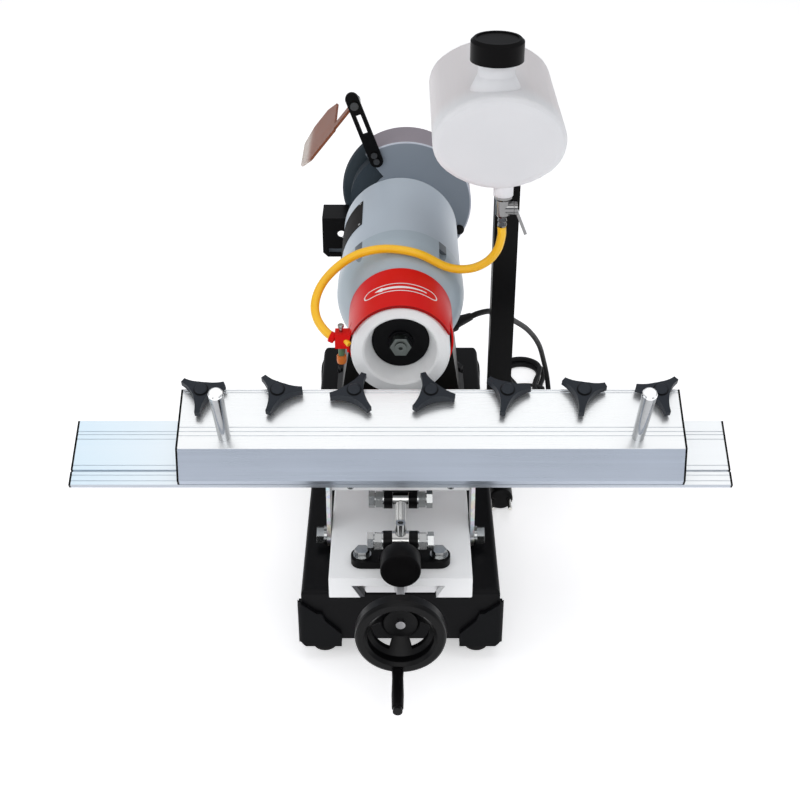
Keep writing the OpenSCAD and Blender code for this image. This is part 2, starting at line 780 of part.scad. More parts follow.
module tilt_brackets() {
    color("darkgray") on_rail() for (x = [0, 1]) mirror([x, 0, 0]) difference() {
        union() {
            along_rail(bracket_t, bracket_in + bracket_t / 2) bracket_outline();
            translate([bracket_in, 8, -rail_t - bracket_t]) cube([flange_out - bracket_in, 58, bracket_t]);
        }
        translate([bracket_in - 1, pivot_s, pivot_n]) rotate([0, 90, 0])
            cylinder(d = pivot_d + 2 * run_gap, h = bracket_t + 2);
        for (s = flange_bolts) translate([flange_bolt_x, s, -rail_t - bracket_t - 1])
            cylinder(d = 6.4, h = bracket_t + 2);
    }
}

module upper_clevis() {
    under = -rail_t - cross_t;
    base_t = 4;
    half = trunnion_half + slide_gap + ear_t;
    color(black) on_rail() difference() {
        union() {
            translate([-half, 6, under - base_t]) cube([2 * half, 20, base_t]);
            for (x = [trunnion_half + slide_gap, -half]) along_rail(ear_t, x + ear_t / 2) {
                polygon([[upper_s - 9.5, upper_n], [upper_s + 9.5, upper_n], [25, under - base_t + 1],
                    [6, under - base_t + 1]]);
                translate([upper_s, upper_n]) circle(9.5);
            }
        }
        translate([-half - 1, upper_s, upper_n]) rotate([0, 90, 0])
            cylinder(d = pin_d + 2 * fit_gap, h = 2 * half + 2);
    }
}

module rail_bolts() {
    color(steel) {
        pin_bolts(upper_y, rod_z, 2.4);
        on_rail() flange_bolt_places() translate([0, 0, -rail_t - bracket_t]) rotate([180, 0, 0])
            hex_bolt(6, bracket_t + 4, 13, 1.4, 4);
    }
}

module carriage_outline() {
    under = -rail_t - lip_gap;
    rib = guide_s + guide_w / 2;
    polygon([[foot_s, foot_n], [ridge_s, carriage_h], [carriage_back, carriage_h], [carriage_back, slot_roof],
        [slot_end, slot_roof], [slot_end, slot_floor], [88, slot_floor], [88, slot_floor - 5],
        [rail_w + lip_gap + lip_t, slot_floor - 5], [rail_w + lip_gap + lip_t, under - lip_t],
        [rail_w - 4.5, under - lip_t], [rail_w - 4.5, under], [rail_w + lip_gap, under],
        [rail_w + lip_gap, 0.4], [rib, 0.4], [rib, -guide_deep], [rib - guide_w, -guide_deep],
        [rib - guide_w, 0.4], [foot_s, 0.4]]);
}

module carriage_chambers() {
    wall = 3;
    low = 0.4 + wall;
    inner_end = slot_end - wall;
    polygon([[3.5, low], [3.5, foot_n + 0.2], [ridge_s + 1.3, carriage_h - wall], [inner_end, carriage_h - wall],
        [inner_end, low]]);
    translate([slot_end, low]) square([rail_w + lip_gap - slot_end, slot_floor - wall - low]);
}

function knob_x(i) = carriage_x + (i - 4) * knob_pitch;

module carriage_beam() {
    color("whitesmoke") on_rail() difference() {
        along_rail(carriage_l - 2 * cap_t, carriage_x) difference() {
            carriage_outline();
            carriage_chambers();
            grooves(carriage_grooves, carriage_h);
        }
        for (i = [1 : 7]) translate([knob_x(i), knob_s, slot_roof - 1])
            cylinder(d = stud_d + 2 * run_gap, h = 10);
        for (x = [-1, 1]) translate([carriage_x + x * handle_x, handle_s, carriage_h - 5])
            cylinder(d = 8.2, h = 10);
    }
}

module carriage_end_caps() {
    color(black) on_rail() for (x = [-1, 1])
        along_rail(cap_t, carriage_x + x * (carriage_l - cap_t) / 2) carriage_outline();
}

module push_handles() {
    r = handle_d / 2;
    color(steel) on_rail() for (x = [-1, 1])
        translate([carriage_x + x * handle_x, handle_s, carriage_h]) {
            translate([0, 0, -2.8]) cylinder(d = 8, h = 3);
            rotate_extrude() polygon([[0, 0], [r - 1.1, 0], [r, handle_l - 2], [r - 0.5, handle_l - 0.6],
                [r - 1.6, handle_l], [0, handle_l]]);
        }
}

module clamp_bar() {
    color("dimgray") on_rail() translate([carriage_x, slot_end + 2, slot_roof - 6.5])
        translate([-carriage_l / 2 + 5, 0, 0]) cube([carriage_l - 10, 24, 6.2]);
}

// A three-armed star with hollowed sides: the hollows leave a core of a given radius
module star_outline(reach, tip, core) {
    away = (reach * reach + tip * tip - core * core) / (reach + sqrt(3) * tip - 2 * core);
    difference() {
        polygon([for (a = [0, 120, 240], side = [-tip - 1, tip + 1])
            [reach * cos(a) - side * sin(a), reach * sin(a) + side * cos(a)]]);
        for (a = [60, 180, 300]) translate(away * [cos(a), sin(a)]) circle(away - core, $fn = 96);
    }
}

// A star knob's arms up to a height, each falling away from the hub to its tip
module star_arms(reach, tip, core, top) {
    droop = 13.5;
    flat = 8;
    difference() {
        linear_extrude(top) star_outline(reach, tip, core);
        for (a = [0, 120, 240]) rotate([0, 0, a]) translate([flat, 0, top]) rotate([0, droop, 0])
            translate([-reach, -reach, 0]) cube([3 * reach, 2 * reach, 20]);
    }
}

module star_knob(i) {
    core = 9.2;
    tip = 2.7;
    lift = 3;
    arm_h = 11;
    on_rail() translate([knob_x(i), knob_s, carriage_h]) {
        color(charcoal) {
            translate([0, 0, 0.3]) cylinder(r = core - 1.5, h = lift);
            translate([0, 0, lift]) rotate([0, 0, knob_turns[i - 1]])
                star_arms(knob_reach, tip, core, arm_h);
            translate([0, 0, lift + arm_h - 2]) cylinder(r = 6.5, h = 3.6);
            translate([0, 0, lift + arm_h + 1.6]) cylinder(r1 = 6.5, r2 = 5, h = 1.1);
        }
        color(steel) translate([0, 0, slot_roof - carriage_h + 0.1]) cylinder(d = stud_d, h = 6);
    }
}

module star_knob_1() star_knob(1);
module star_knob_2() star_knob(2);
module star_knob_3() star_knob(3);
module star_knob_4() star_knob(4);
module star_knob_5() star_knob(5);
module star_knob_6() star_knob(6);
module star_knob_7() star_knob(7);

module motor_pedestal() {
    foot = 77;
    top = axis_z - 55;
    color(grey_paint) difference() {
        upright(ped_front, ped_l) polygon([[-foot, base_top], [foot, base_top], [foot, base_top + 7],
            [71, base_top + 12], [67, base_top + 46], [57, top - 20], [54, top], [-54, top],
            [-57, top - 20], [-67, base_top + 46], [-71, base_top + 12], [-foot, base_top + 7]]);
        upright(ped_front + 6, ped_l - 12) polygon([[-62, base_top - 1], [62, base_top - 1],
            [58, base_top + 46], [46, top - 30], [-46, top - 30], [-58, base_top + 46]]);
        along_spindle(ped_front - 1) cylinder(d = shell_d + 0.2, h = ped_l + 2);
        pedestal_bolt_places() translate([0, 0, base_top - 1]) cylinder(d = 8.4, h = 20);
        pedestal_bolt_places() translate([0, 0, base_top + 7]) cylinder(d = 20, h = 40);
    }
}

module motor_shell() {
    color(grey_paint) along_spindle(shell_y) difference() {
        cylinder(d = shell_d, h = shell_l);
        translate([0, 0, -1]) cylinder(d = shell_d - 6, h = shell_l + 2);
    }
}

// Outer radius of the front bell, at a distance behind its nose
bell_r = bell_d / 2;
nose_r = hood_d / 2 - 4;
dome_from = 21;
dome_to = 67;
function dome_r(y) = nose_r + (bell_r - nose_r) * (1 - pow((dome_to - y) / (dome_to - dome_from), 2));

module tie_bolt_places() {
    for (a = tie_bolt_angles) rotate([0, 0, a]) translate([0, -bell_r - 1.8, 0]) children();
}

module front_end_bell() {
    seat = bearing_d / 2 + fit_gap / 2;
    wall = 5;
    color(grey_paint) difference() {
        along_spindle(nose_y) difference() {
            rotate_extrude() polygon(concat([[13, 0], [nose_r - 4, 0]],
                [for (i = [0 : 10]) let (y = dome_from + (dome_to - dome_from) * i / 10) [dome_r(y), y]],
                [[bell_r, bell_l], [bell_r - wall, bell_l], [bell_r - wall, dome_to - 2],
                    [dome_r(38) - wall - 1, 38], [nose_r - 5, 23], [26, 23], [26, 33], [seat, 33],
                    [seat, 19], [13, 19]]));
            translate([0, 0, dome_from + 14]) tie_bolt_places() cylinder(d = 11, h = 30);
        }
        gland_line() translate([0, 0, -10]) cylinder(d = 12.2, h = 40);
    }
}

module rear_end_bell() {
    seat = bearing_d / 2 + fit_gap / 2;
    back = drum_y - shell_back;
    wall = 5;
    boss = 30;
    rim = shell_d / 2 - 1;
    color(grey_paint) along_spindle(shell_back) rotate_extrude() polygon([[rim - wall, 0], [rim, 0],
        [rim - 2, 5], [rim - 9, 16], [rim - 19, 32], [rim - 28, 46], [boss, 53], [boss, back], [10, back],
        [10, 52], [seat, 52], [seat, 40], [rim - 32, 40], [rim - 25, 31], [rim - 15, 15], [rim - wall - 2, 4]]);
}

module stator() {
    color("sienna") along_spindle(shell_y + 23) difference() {
        cylinder(d = shell_d - 6.2, h = 100);
        translate([0, 0, -1]) cylinder(r = 38, h = 102);
    }
}

front_bearing_y = nose_y + 19.5;
rear_bearing_y = shell_back + 40;

module ball_bearings() {
    color(steel) for (y = [front_bearing_y, rear_bearing_y - 0.5]) along_spindle(y) difference() {
        cylinder(d = bearing_d, h = bearing_t);
        translate([0, 0, -1]) cylinder(d = bearing_bore + 2 * run_gap, h = bearing_t + 2);
    }
}

module motor_shaft() {
    thread_d = 12;
    seat_d = 20;
    stub = cup_floor - 23;
    module part(y0, y1, d) along_spindle(y0) cylinder(d = d, h = y1 - y0);
    color(steel) {
        difference() {
            part(stub, cup_floor, thread_d);
            part(stub - 1, stub + 3, 4);
        }
        part(cup_floor - 1, cup_back + flange_t, seat_d);
        part(cup_back + flange_t, front_bearing_y - 3, 24);
        part(front_bearing_y - 3, front_bearing_y + bearing_t + 3, bearing_bore);
        part(front_bearing_y + bearing_t + 3, rear_bearing_y - 3, shaft_d);
        part(rear_bearing_y - 3, rear_bearing_y + bearing_t, bearing_bore);
        part(rear_bearing_y + bearing_t, drum_y + drum_l - drum_t - 2, rear_shaft_d);
    }
}

module rotor() {
    color("slategray") along_spindle(shell_y + 28) difference() {
        cylinder(r = 37.2, h = 90);
        translate([0, 0, -1]) cylinder(d = shaft_d + 2 * run_gap, h = 92);
    }
}

module cup_wheel() {
    r = cup_d / 2;
    hole = 10 + run_gap;
    color("white") along_spindle(cup_face) rotate_extrude() polygon([[hole, cup_l], [r, cup_l], [r, 1.5],
        [r - 1.5, 0], [cup_bore_d / 2 + 2, 0], [cup_bore_d / 2, 2], [cup_floor_d / 2, cup_l - cup_wall],
        [hole, cup_l - cup_wall]]);
}

module wheel_flanges() {
    bore = 6 + run_gap;
    rear_bore = rear_shaft_d / 2 + run_gap;
    color("#2a2a2c") {
        along_spindle(cup_floor - 11) rotate_extrude() polygon([[bore, 0], [12.5, 0], [13, 3],
            [cup_floor_d / 2 + 1.8, 3], [cup_floor_d / 2 + 2, 3.6], [cup_floor_d / 2 - 0.4, 11], [11, 11],
            [11, 9.8], [bore, 9.8]]);
        along_spindle(cup_back) rotate_extrude() polygon([[10 + run_gap, 0], [30, 0], [30, 3],
            [20, flange_t], [10 + run_gap, flange_t]]);
        for (y = [rear_wheel_y - 4, rear_wheel_y + rear_wheel_t]) along_spindle(y) rotate_extrude()
            polygon([[rear_bore, 0], [24, 0], [24, 4], [rear_bore, 4]]);
    }
}

module spindle_nuts() {
    color(steel) {
        along_spindle(cup_floor - 21) hex_nut(12 + 2 * run_gap, 10, 19);
        along_spindle(rear_wheel_y + rear_wheel_t + 4) hex_nut(rear_shaft_d + 2 * run_gap, 6, 24);
    }
}

module rear_wheel() {
    color("lightgray") along_spindle(rear_wheel_y) difference() {
        cylinder(d = rear_wheel_d, h = rear_wheel_t);
        translate([0, 0, -1]) cylinder(d = rear_shaft_d + 2 * run_gap, h = rear_wheel_t + 2);
    }
}

// The red hood: a rolled sheet over the cup wheel, longer round the sides behind than in front
module wheel_guard() {
    r = hood_d / 2;
    sheet = 2;
    front_low = 22;
    rear_low = -44;
    plate_low = -44;
    plate_t = 2.5;
    clip_w = 14;
    clip_out = -66;
    wide = 2 * hood_d;
    module below(y0, y1, low) translate([-wide / 2, y0, axis_z + low - wide]) cube([wide, y1 - y0, wide]);
    color(red_paint) difference() {
        union() {
            difference() {
                along_spindle(hood_front) cylinder(r = r, h = hood_back - hood_front);
                along_spindle(hood_front - 1) cylinder(r = r - sheet, h = nose_y - plate_t - hood_front + 1);
                along_spindle(nose_y) cylinder(r = r - sheet, h = hood_back - nose_y + 1);
                difference() {
                    below(hood_front - 1, hood_step, front_low);
                    translate([-wide, clip_y - clip_w / 2, clip_z - 12]) cube([wide, clip_w, 40]);
                }
                below(hood_step - 0.01, nose_y - plate_t, rear_low);
                below(nose_y, hood_back + 1, rear_low);
                below(nose_y - plate_t - 0.01, nose_y + 0.01, plate_low);
            }
            translate([clip_out, clip_y - clip_w / 2, clip_z - 8]) cube([-clip_out - r + 3.5, clip_w, 16]);
        }
        along_spindle(nose_y - 10) cylinder(r = 16, h = 20);
        along_spindle(hood_front - 1) cylinder(r = r - sheet, h = nose_y - plate_t - hood_front + 1);
        guard_screw_places() translate([0, 0, -1]) cylinder(d = 6.4, h = plate_t + 2);
        translate(hose_end) rotate([0, acos(hose_way[2] / norm(hose_way)), atan2(hose_way[1], hose_way[0])])
            translate([0, 0, -14]) cylinder(d = hose_d + 0.6, h = 17);
    }
}

module guard_screw_places() {
    for (a = [30, 150, 270]) along_spindle(nose_y - 2.5) rotate([0, 0, a]) translate([38, 0, 0]) children();
}

module drum_opening(inner) {
    reach = 2 * drum_d;
    difference() {
        polygon(concat([[0, 0]], [for (i = [0 : 4]) let (a = open_from + (open_to - open_from) * i / 4)
            reach * [cos(a), sin(a)]]));
        circle(inner);
    }
}

module rear_guard() {
    r = drum_d / 2;
    lug_h = 18;
    centre = [drum_x, axis_z + drum_rise];
    color("#7d848c") difference() {
        union() {
            upright(drum_y, drum_t) translate(centre) difference() {
                circle(r);
                drum_opening(45);
            }
            upright(drum_y + drum_t, drum_l - 2 * drum_t) translate(centre) difference() {
                circle(r);
                circle(r - drum_t);
                drum_opening(0);
            }
            upright(drum_y + drum_l - drum_t, drum_t) translate(centre) circle(r);
            translate([rest_left + 5, drum_y - arm_t + slide_gap, rest_bolt[1] - lug_h / 2])
                cube([62, arm_t - slide_gap + 1, lug_h]);
        }
        along_spindle(drum_y - 1) cylinder(r = 24, h = drum_t + 2);
        translate([rest_bolt[0], drum_y + 2, rest_bolt[1]]) rotate([90, 0, 0]) cylinder(d = 6.2, h = 12);
        for (t = arm_screws) arm_point(t) cylinder(d = arm_screw_d + 2 * fit_gap, h = 20, center = true);
    }
}

// A place on the shield arm's middle line, with Z pointing at the operator
module arm_point(t) {
    p = arm_foot + t * (arm_tip - arm_foot);
    translate([p[0], drum_y - arm_t / 2, p[1]]) rotate([90, 0, 0]) children();
}

module shield_arm() {
    lean = atan2(arm_dir[1], arm_dir[0]);
    color(black) difference() {
        upright(drum_y - arm_t, arm_t) translate(arm_foot) rotate(lean) {
            translate([0, -arm_w / 2]) square([arm_len, arm_w]);
            circle(d = arm_w);
            translate([arm_len, 0]) circle(d = arm_w);
        }
        upright(drum_y - arm_t - 1, arm_t + 2) translate(arm_foot) rotate(lean)
            translate([arm_len * 0.45, -3]) square([arm_len * 0.3, 6]);
        for (t = arm_screws) arm_point(t) cylinder(d = arm_screw_d + 2 * fit_gap, h = 20, center = true);
        arm_point(0.9) cylinder(d = 6 + 2 * fit_gap, h = 20, center = true);
    }
}

module eye_shield() {
    sheet = 3;
    width = 113.4;
    tab = 16;
    near = shield_len * 0.36;
    far = shield_len;
    cut = 20;
    color("#966e5a99") difference() {
        union() {
            translate([shield_pin[0], drum_y + 0.4, shield_pin[1]]) rotate([-90, 0, 0])
                cylinder(d = 13, h = tab);
            upright(drum_y + 0.4, tab) translate(shield_pin) rotate(shield_angle)
                translate([0, -sheet / 2]) square([shield_len * 0.45, sheet]);
            translate([shield_pin[0], drum_y - 4, shield_pin[1]]) rotate([0, -shield_angle, 0])
                translate([0, 0, -sheet / 2]) linear_extrude(sheet) polygon([[near, 0], [far - cut, 0],
                    [far, cut], [far, width - cut], [far - cut, width], [near + cut, width],
                    [near, width - cut]]);
        }
        translate([shield_pin[0], drum_y - 1, shield_pin[1]]) rotate([-90, 0, 0])
            cylinder(d = 6 + 2 * run_gap, h = tab + 4);
    }
}

module tool_rest() {
    low = axis_z - 66;
    right = -48;
    table_right = -65;
    depth = 43;
    corner = 6;
    slot_h = 6.6;
    color(black) difference() {
        union() {
            upright(rest_y, rest_t) polygon([[rest_left, rest_top], [right, rest_top], [right, low],
                [rest_left + corner, low], [rest_left, low + corner]]);
            translate([rest_left, rest_y, rest_top - rest_t]) cube([table_right - rest_left, depth, rest_t]);
        }
        translate([rest_left + 7, rest_y - 1, rest_bolt[1] - slot_h / 2]) cube([38, rest_t + 2, slot_h]);
        translate([-73.5, rest_y - 1, axis_z - 35.5]) rotate([-90, 0, 0]) cylinder(d = 10, h = rest_t + 2);
    }
}

// An oval of four arcs that run into each other, and the points round it
function flat_arc(half_w, half_h, end_r) =
    (pow(half_w - end_r, 2) + half_h * half_h - end_r * end_r) / (2 * (half_h - end_r));
module oval(half_w, half_h, end_r) {
    side = half_w - end_r;
    flat_r = flat_arc(half_w, half_h, end_r);
    meet = side * flat_r / (flat_r - end_r);
    for (x = [-side, side]) translate([x, 0]) circle(end_r);
    intersection() {
        translate([0, half_h - flat_r]) circle(flat_r, $fn = 120);
        translate([0, flat_r - half_h]) circle(flat_r, $fn = 120);
        square([2 * meet, 2 * half_h], center = true);
    }
}
function oval_ring(half_w, half_h, end_r, steps) =
    let (side = half_w - end_r, flat_r = flat_arc(half_w, half_h, end_r), drop = flat_r - half_h,
        turn = atan2(drop, side),
        quarter = concat(
            [for (i = [0 : steps - 1]) let (a = turn * i / steps)
                [side + end_r * cos(a), end_r * sin(a)]],
            [for (i = [0 : steps - 1]) let (a = turn + (90 - turn) * i / steps)
                [flat_r * cos(a), flat_r * sin(a) - drop]]),
        half = concat(quarter, [[0, half_h]],
            [for (i = [2 * steps - 1 : -1 : 1]) [-quarter[i][0], quarter[i][1]]]))
    concat(half, -half);

module tank_section(grow) {
    translate([tank_x, tank_z + tank_h / 2])
        oval(tank_w / 2 + grow, tank_h / 2 + grow, tank_r + grow);
}

module tank_post() {
    wall = 2;
    cradle_t = 3;
    cradle_l = 110;
    gap = 0.3;
    color(black) difference() {
        union() {
            difference() {
                translate([post_x, post_y, skirt_z + 9]) cube([post_w, post_w, tank_z - skirt_z - 10]);
                translate([post_x + wall, post_y + wall, skirt_z])
                    cube([post_w - 2 * wall, post_w - 2 * wall, tank_z - skirt_z - 16]);
            }
            intersection() {
                upright(post_y - 9, cradle_l) tank_section(gap + cradle_t);
                translate([tank_x - 48, post_y - 9, tank_z - 10]) cube([96, cradle_l, 22]);
            }
        }
        upright(post_y - 50, cradle_l + 100) tank_section(gap);
        post_bolt_places() translate([0, 0, -5]) cylinder(d = 8.4, h = post_w + 10);
    }
}

module tank_body(inset) {
    edge = tank_edge - inset;
    steps = 5;
    front = [for (a = [90, 60, 30, 0]) [inset + edge * (1 - sin(a)), inset + edge * (1 - cos(a))]];
    ends = concat(front, [for (i = [3 : -1 : 0]) [tank_l - front[i][0], front[i][1]]]);
    points = [for (e = ends, q = oval_ring(tank_w / 2 - e[1], tank_h / 2 - e[1], tank_r - e[1], steps))
        [tank_x + q[0], tank_y + e[0], tank_z + tank_h / 2 - q[1]]];
    skin(points, len(ends), 8 * steps);
}

neck_top = tank_z + tank_h + 40;
module water_tank() {
    top = tank_z + tank_h;
    color("#f4f6f7cc") difference() {
        union() {
            tank_body(0);
            translate([neck_x, neck_y, top - 12]) cylinder(d = neck_d, h = neck_top - top + 12);
            translate([neck_x, neck_y, top - 9]) cylinder(r1 = neck_d / 2 + 9, r2 = neck_d / 2, h = 19);
            translate([spout_x, spout_y, cock_z]) cylinder(d = 20, h = spout_l + 8);
        }
        tank_body(tank_wall);
        translate([neck_x, neck_y, top - 16]) cylinder(d = neck_d - 6, h = 60);
        translate([spout_x, spout_y, cock_z - 1]) cylinder(d = 10, h = spout_l + 12);
    }
}

module tank_cap() {
    low = neck_top - 16;
    tall = 22;
    top_t = 5;
    color(black) translate([neck_x, neck_y, low]) difference() {
        rotate_extrude() polygon([[0, 0], [cap_d / 2, 0], [cap_d / 2, tall - 3], [cap_d / 2 - 3, tall], [0, tall]]);
        translate([0, 0, -1]) cylinder(d = neck_d + 0.6, h = tall - top_t + 1);
        translate([0, 0, tall - 1.2]) cylinder(d = cap_d - 11, h = 3);
    }
}

module drain_cock() {
    color(steel) translate([spout_x, spout_y, cock_z]) difference() {
        union() {
            rotate_extrude() polygon([[0, 0], [9, 0], [9, -3], [7.5, -5], [7.5, -21], [5.5, -23], [5, -23.5],
                [4, -24.5], [5, -28], [4, -29], [5, -33], [4, -cock_l], [0, -cock_l]]);
            translate([0, 0, lever_z - cock_z]) rotate([0, 90, 0]) cylinder(d = 15, h = 11);
        }
        translate([4, 0, lever_z - cock_z]) rotate([0, 90, 0]) cylinder(d = 5 + 2 * run_gap, h = 10);
    }
}

module cock_lever() {
    color(steel) translate([spout_x, spout_y, lever_z]) {
        translate([5, 0, 0]) rotate([0, 90, 0]) cylinder(d = 5, h = 8);
        translate([11.3, 0, 0]) rotate([0, 90, 0]) cylinder(d = 15, h = 3.5);
        translate([11.3, -4, 0]) rotate([0, -22, 0]) translate([0, 0, -31]) cube([3, 8, 28]);
    }
}

module water_hose() {
    color("orange") swept_tube(spline(hose_route, 2), hose_d, 12);
}

// A child along the cable gland, with Z pointing out of the motor
module gland_line() {
    translate(gland_at) rotate([0, 0, gland_angle]) rotate([0, 90, 0]) children();
}

module cable_gland() {
    color(black) difference() {
        gland_line() {
            translate([0, 0, -6]) cylinder(d = 12, h = 14);
            cylinder(d = 18, h = 9);
            rotate_extrude() polygon([[0, 8], [7, 8], [6.5, 14], [4.4, gland_l], [0, gland_l]]);
        }
        difference() {
            along_spindle(nose_y + dome_to - 20) cylinder(r = bell_r + 0.1, h = 60);
            gland_line() translate([0, 0, -8]) cylinder(d = 12, h = 20);
        }
    }
}

module power_cord() {
    color(black) {
        swept_tube(spline(cord_route, 2), cord_d, 10);
        swept_tube(spline(lead_route, 2), cord_d, 10);
    }
}

module cord_hank() {
    color(black) swept_tube(hank_path, cord_d, 6);
}

module mains_plug() {
    r = plug_d / 2;
    pin_l = 19;
    translate([plug_at[0], plug_at[1], r]) rotate([-90, 0, 0]) {
        color(black) rotate_extrude() polygon([[0, 0], [r - 1.5, 0], [r, 1.5], [r, 22], [r - 2, 27], [8, 34],
            [5.5, 38], [4.6, 54], [0, 54]]);
        color(steel) for (x = [-9.5, 9.5]) translate([x, 0, -pin_l]) cylinder(d = 4.8, h = pin_l + 1);
    }
}

module housing_bolts() {
    nut_t = 6.5;
    color(steel) {
        pedestal_bolt_places() {
            translate([0, 0, base_top + 7]) hex_bolt(8, 7 + sheet_t + 9, 17, 1.6, 5.5);
            translate([0, 0, base_top - sheet_t - nut_t]) hex_nut(8.2, nut_t, 13);
        }
        post_bolt_places() {
            translate([0, 0, post_w]) hex_bolt(8, post_w + sheet_t + 9, 16, 1.6, 5.5);
            translate([0, 0, -sheet_t - nut_t]) hex_nut(8.2, nut_t, 13);
        }
        guard_screw_places() rotate([180, 0, 0]) cylinder(d = 11, h = 1.2);
        translate([rest_bolt[0], rest_y - slide_gap, rest_bolt[1]]) rotate([90, 0, 0])
            hex_bolt(6, 10, 12, 1.2, 4);
        for (t = arm_screws) arm_point(t) {
            translate([0, 0, -arm_t]) cylinder(d = arm_screw_d, h = 2 * arm_t);
            translate([0, 0, arm_t / 2]) cylinder(d = 7.6, h = 2.6);
        }
        arm_point(0.9) {
            translate([0, 0, -18]) cylinder(d = 6, h = 20);
            translate([0, 0, arm_t / 2]) cylinder(d = 10, h = 3);
        }
    }
}

base_housing();
corner_guards();
rubber_feet();
dovetail_way();
motor_pedestal();
motor_shell();
front_end_bell();
rear_end_bell();
stator();
ball_bearings();
wheel_guard();
rear_guard();
shield_arm();
tank_post();
water_tank();
drain_cock();
water_hose();
cable_gland();
power_cord();
cord_hank();
mains_plug();
housing_bolts();
motor_shaft();
rotor();
cup_wheel();
wheel_flanges();
spindle_nuts();
rear_wheel();
feed_screw();
handwheel();
crank_grip();
saddle();
gib_strip();
feed_nut();
lower_clevis();
trunnion_nut();
saddle_bolts();
swivel_block();
adjusting_screw();
rail_beam();
rail_end_caps();
cross_plate();
tilt_brackets();
upper_clevis();
rail_bolts();
carriage_beam();
carriage_end_caps();
push_handles();
clamp_bar();
star_knob_1();
star_knob_2();
star_knob_3();
star_knob_4();
star_knob_5();
star_knob_6();
star_knob_7();
tank_cap();
cock_lever();
eye_shield();
tool_rest();

echo(hank_gap_to_itself_mm = hank_self_gap);
echo(lead_length_mm = path_length(spline(cord_route, 2)) + path_length(hank_path)
    + path_length(spline(lead_route, 2)));
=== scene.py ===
"""Looks of a planer blade sharpening machine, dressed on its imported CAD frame."""

import math

import bpy
from mathutils import Matrix, Vector


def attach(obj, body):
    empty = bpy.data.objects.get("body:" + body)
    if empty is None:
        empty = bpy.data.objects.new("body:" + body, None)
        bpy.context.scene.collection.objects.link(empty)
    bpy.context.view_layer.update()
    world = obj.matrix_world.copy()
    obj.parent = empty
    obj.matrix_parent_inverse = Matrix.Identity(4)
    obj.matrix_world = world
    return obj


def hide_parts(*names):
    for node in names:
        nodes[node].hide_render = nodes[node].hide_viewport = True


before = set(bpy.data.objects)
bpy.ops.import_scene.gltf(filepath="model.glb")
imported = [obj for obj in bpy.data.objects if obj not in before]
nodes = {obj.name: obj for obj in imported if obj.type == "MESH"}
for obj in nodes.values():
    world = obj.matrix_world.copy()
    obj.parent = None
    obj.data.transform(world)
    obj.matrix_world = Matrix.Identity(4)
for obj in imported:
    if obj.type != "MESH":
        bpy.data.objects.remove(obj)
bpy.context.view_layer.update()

# Sizes that several pieces share, in metres
MM = 0.001
AXIS_Z = 271 * MM
SHELL_R = 66.5 * MM
HOOD_R = 54 * MM
DRUM_X, DRUM_Y, DRUM_Z, DRUM_R = 7 * MM, 270 * MM, 273 * MM, 80 * MM
RIDGE_S, CARRIAGE_H = 22 * MM, 33 * MM
KNOB_PITCH, MIDDLE_KNOB_X, KNOB_S = 76 * MM, 30 * MM, 82 * MM

# The rail's own directions: up its slope, and off its face
SLOPE = math.radians(25)
RAIL_ORIGIN = Vector((0, -183.508, 169.573)) * MM
UP_SLOPE = Vector((0, math.cos(SLOPE), math.sin(SLOPE)))
OFF_RAIL = Vector((0, -math.sin(SLOPE), math.cos(SLOPE)))

# Camera at the photograph's place
LENS, SENSOR, SHIFT_X = 60.75, 36.0, -0.00075
CAMERA_PLACE, CAMERA_DIP = (0, -1.274, 0.939), 31.6

camera_data = bpy.data.cameras.new("photo_camera")
camera_data.lens, camera_data.sensor_width = LENS, SENSOR
camera_data.shift_x = SHIFT_X
camera = bpy.data.objects.new("photo_camera", camera_data)
bpy.context.scene.collection.objects.link(camera)
camera.location = CAMERA_PLACE
camera.rotation_euler = (math.radians(90 - CAMERA_DIP), 0, 0)
bpy.context.scene.camera = camera


# Cords
def cord_curve(name, route, diameter):
    """A round cord on one smooth open curve through the route's points, in millimetres"""
    points = [Vector(p) * MM for p in route]
    data = bpy.data.curves.new(name, "CURVE")
    data.dimensions = "3D"
    data.bevel_depth, data.bevel_resolution = 1.0, 5
    data.resolution_u = 8
    data.use_fill_caps = True
    line = data.splines.new("BEZIER")
    line.bezier_points.add(len(points) - 1)
    for i, knot in enumerate(line.bezier_points):
        before, here, after = points[max(i - 1, 0)], points[i], points[min(i + 1, len(points) - 1)]
        along = (after - before).normalized()
        knot.handle_left_type = knot.handle_right_type = "FREE"
        knot.co, knot.radius = here, diameter / 2
        knot.handle_left = here - along * (here - before).length / 3
        knot.handle_right = here + along * (after - here).length / 3
    piece = bpy.data.objects.new(name, data)
    bpy.context.scene.collection.objects.link(piece)
    return piece


def curve_length(piece, steps=32):
    """Length of the curve's own line, added up in short steps"""
    knots = piece.data.splines[0].bezier_points
    total = 0.0
    for a, b in zip(knots, list(knots)[1:]):
        last = a.co.copy()
        for k in range(1, steps + 1):
            t = k / steps
            here = ((1 - t) ** 3 * a.co + 3 * (1 - t) ** 2 * t * a.handle_right
                    + 3 * (1 - t) * t * t * b.handle_left + t ** 3 * b.co)
            total += (here - last).length
            last = here
    return total


HOSE_D, CORD_D = 9 * MM, 6.5 * MM
hose_route = [(103.5, -6, 367), (103.5, -6, 356.5), (99.9, -5.3, 340.9), (89.6, -3.7, 326.3),
              (72.3, -1.9, 317.4), (50.3, -0.7, 318.1), (18.8, -2.6, 334.7), (-8.1, 1.4, 338.3),
              (-30, -1, 338), (-50, -3.7, 331.9), (-69, -14.6, 321.8), (-82.1, -35.4, 313),
              (-87.2, -52, 301.8), (-84.6, -65.3, 292), (-76.1, -76.2, 283.9), (-66.2, -83, 279)]
water_hose = cord_curve("hose", hose_route, HOSE_D)
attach(water_hose, "base")
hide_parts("water_hose")
curve_length(water_hose)

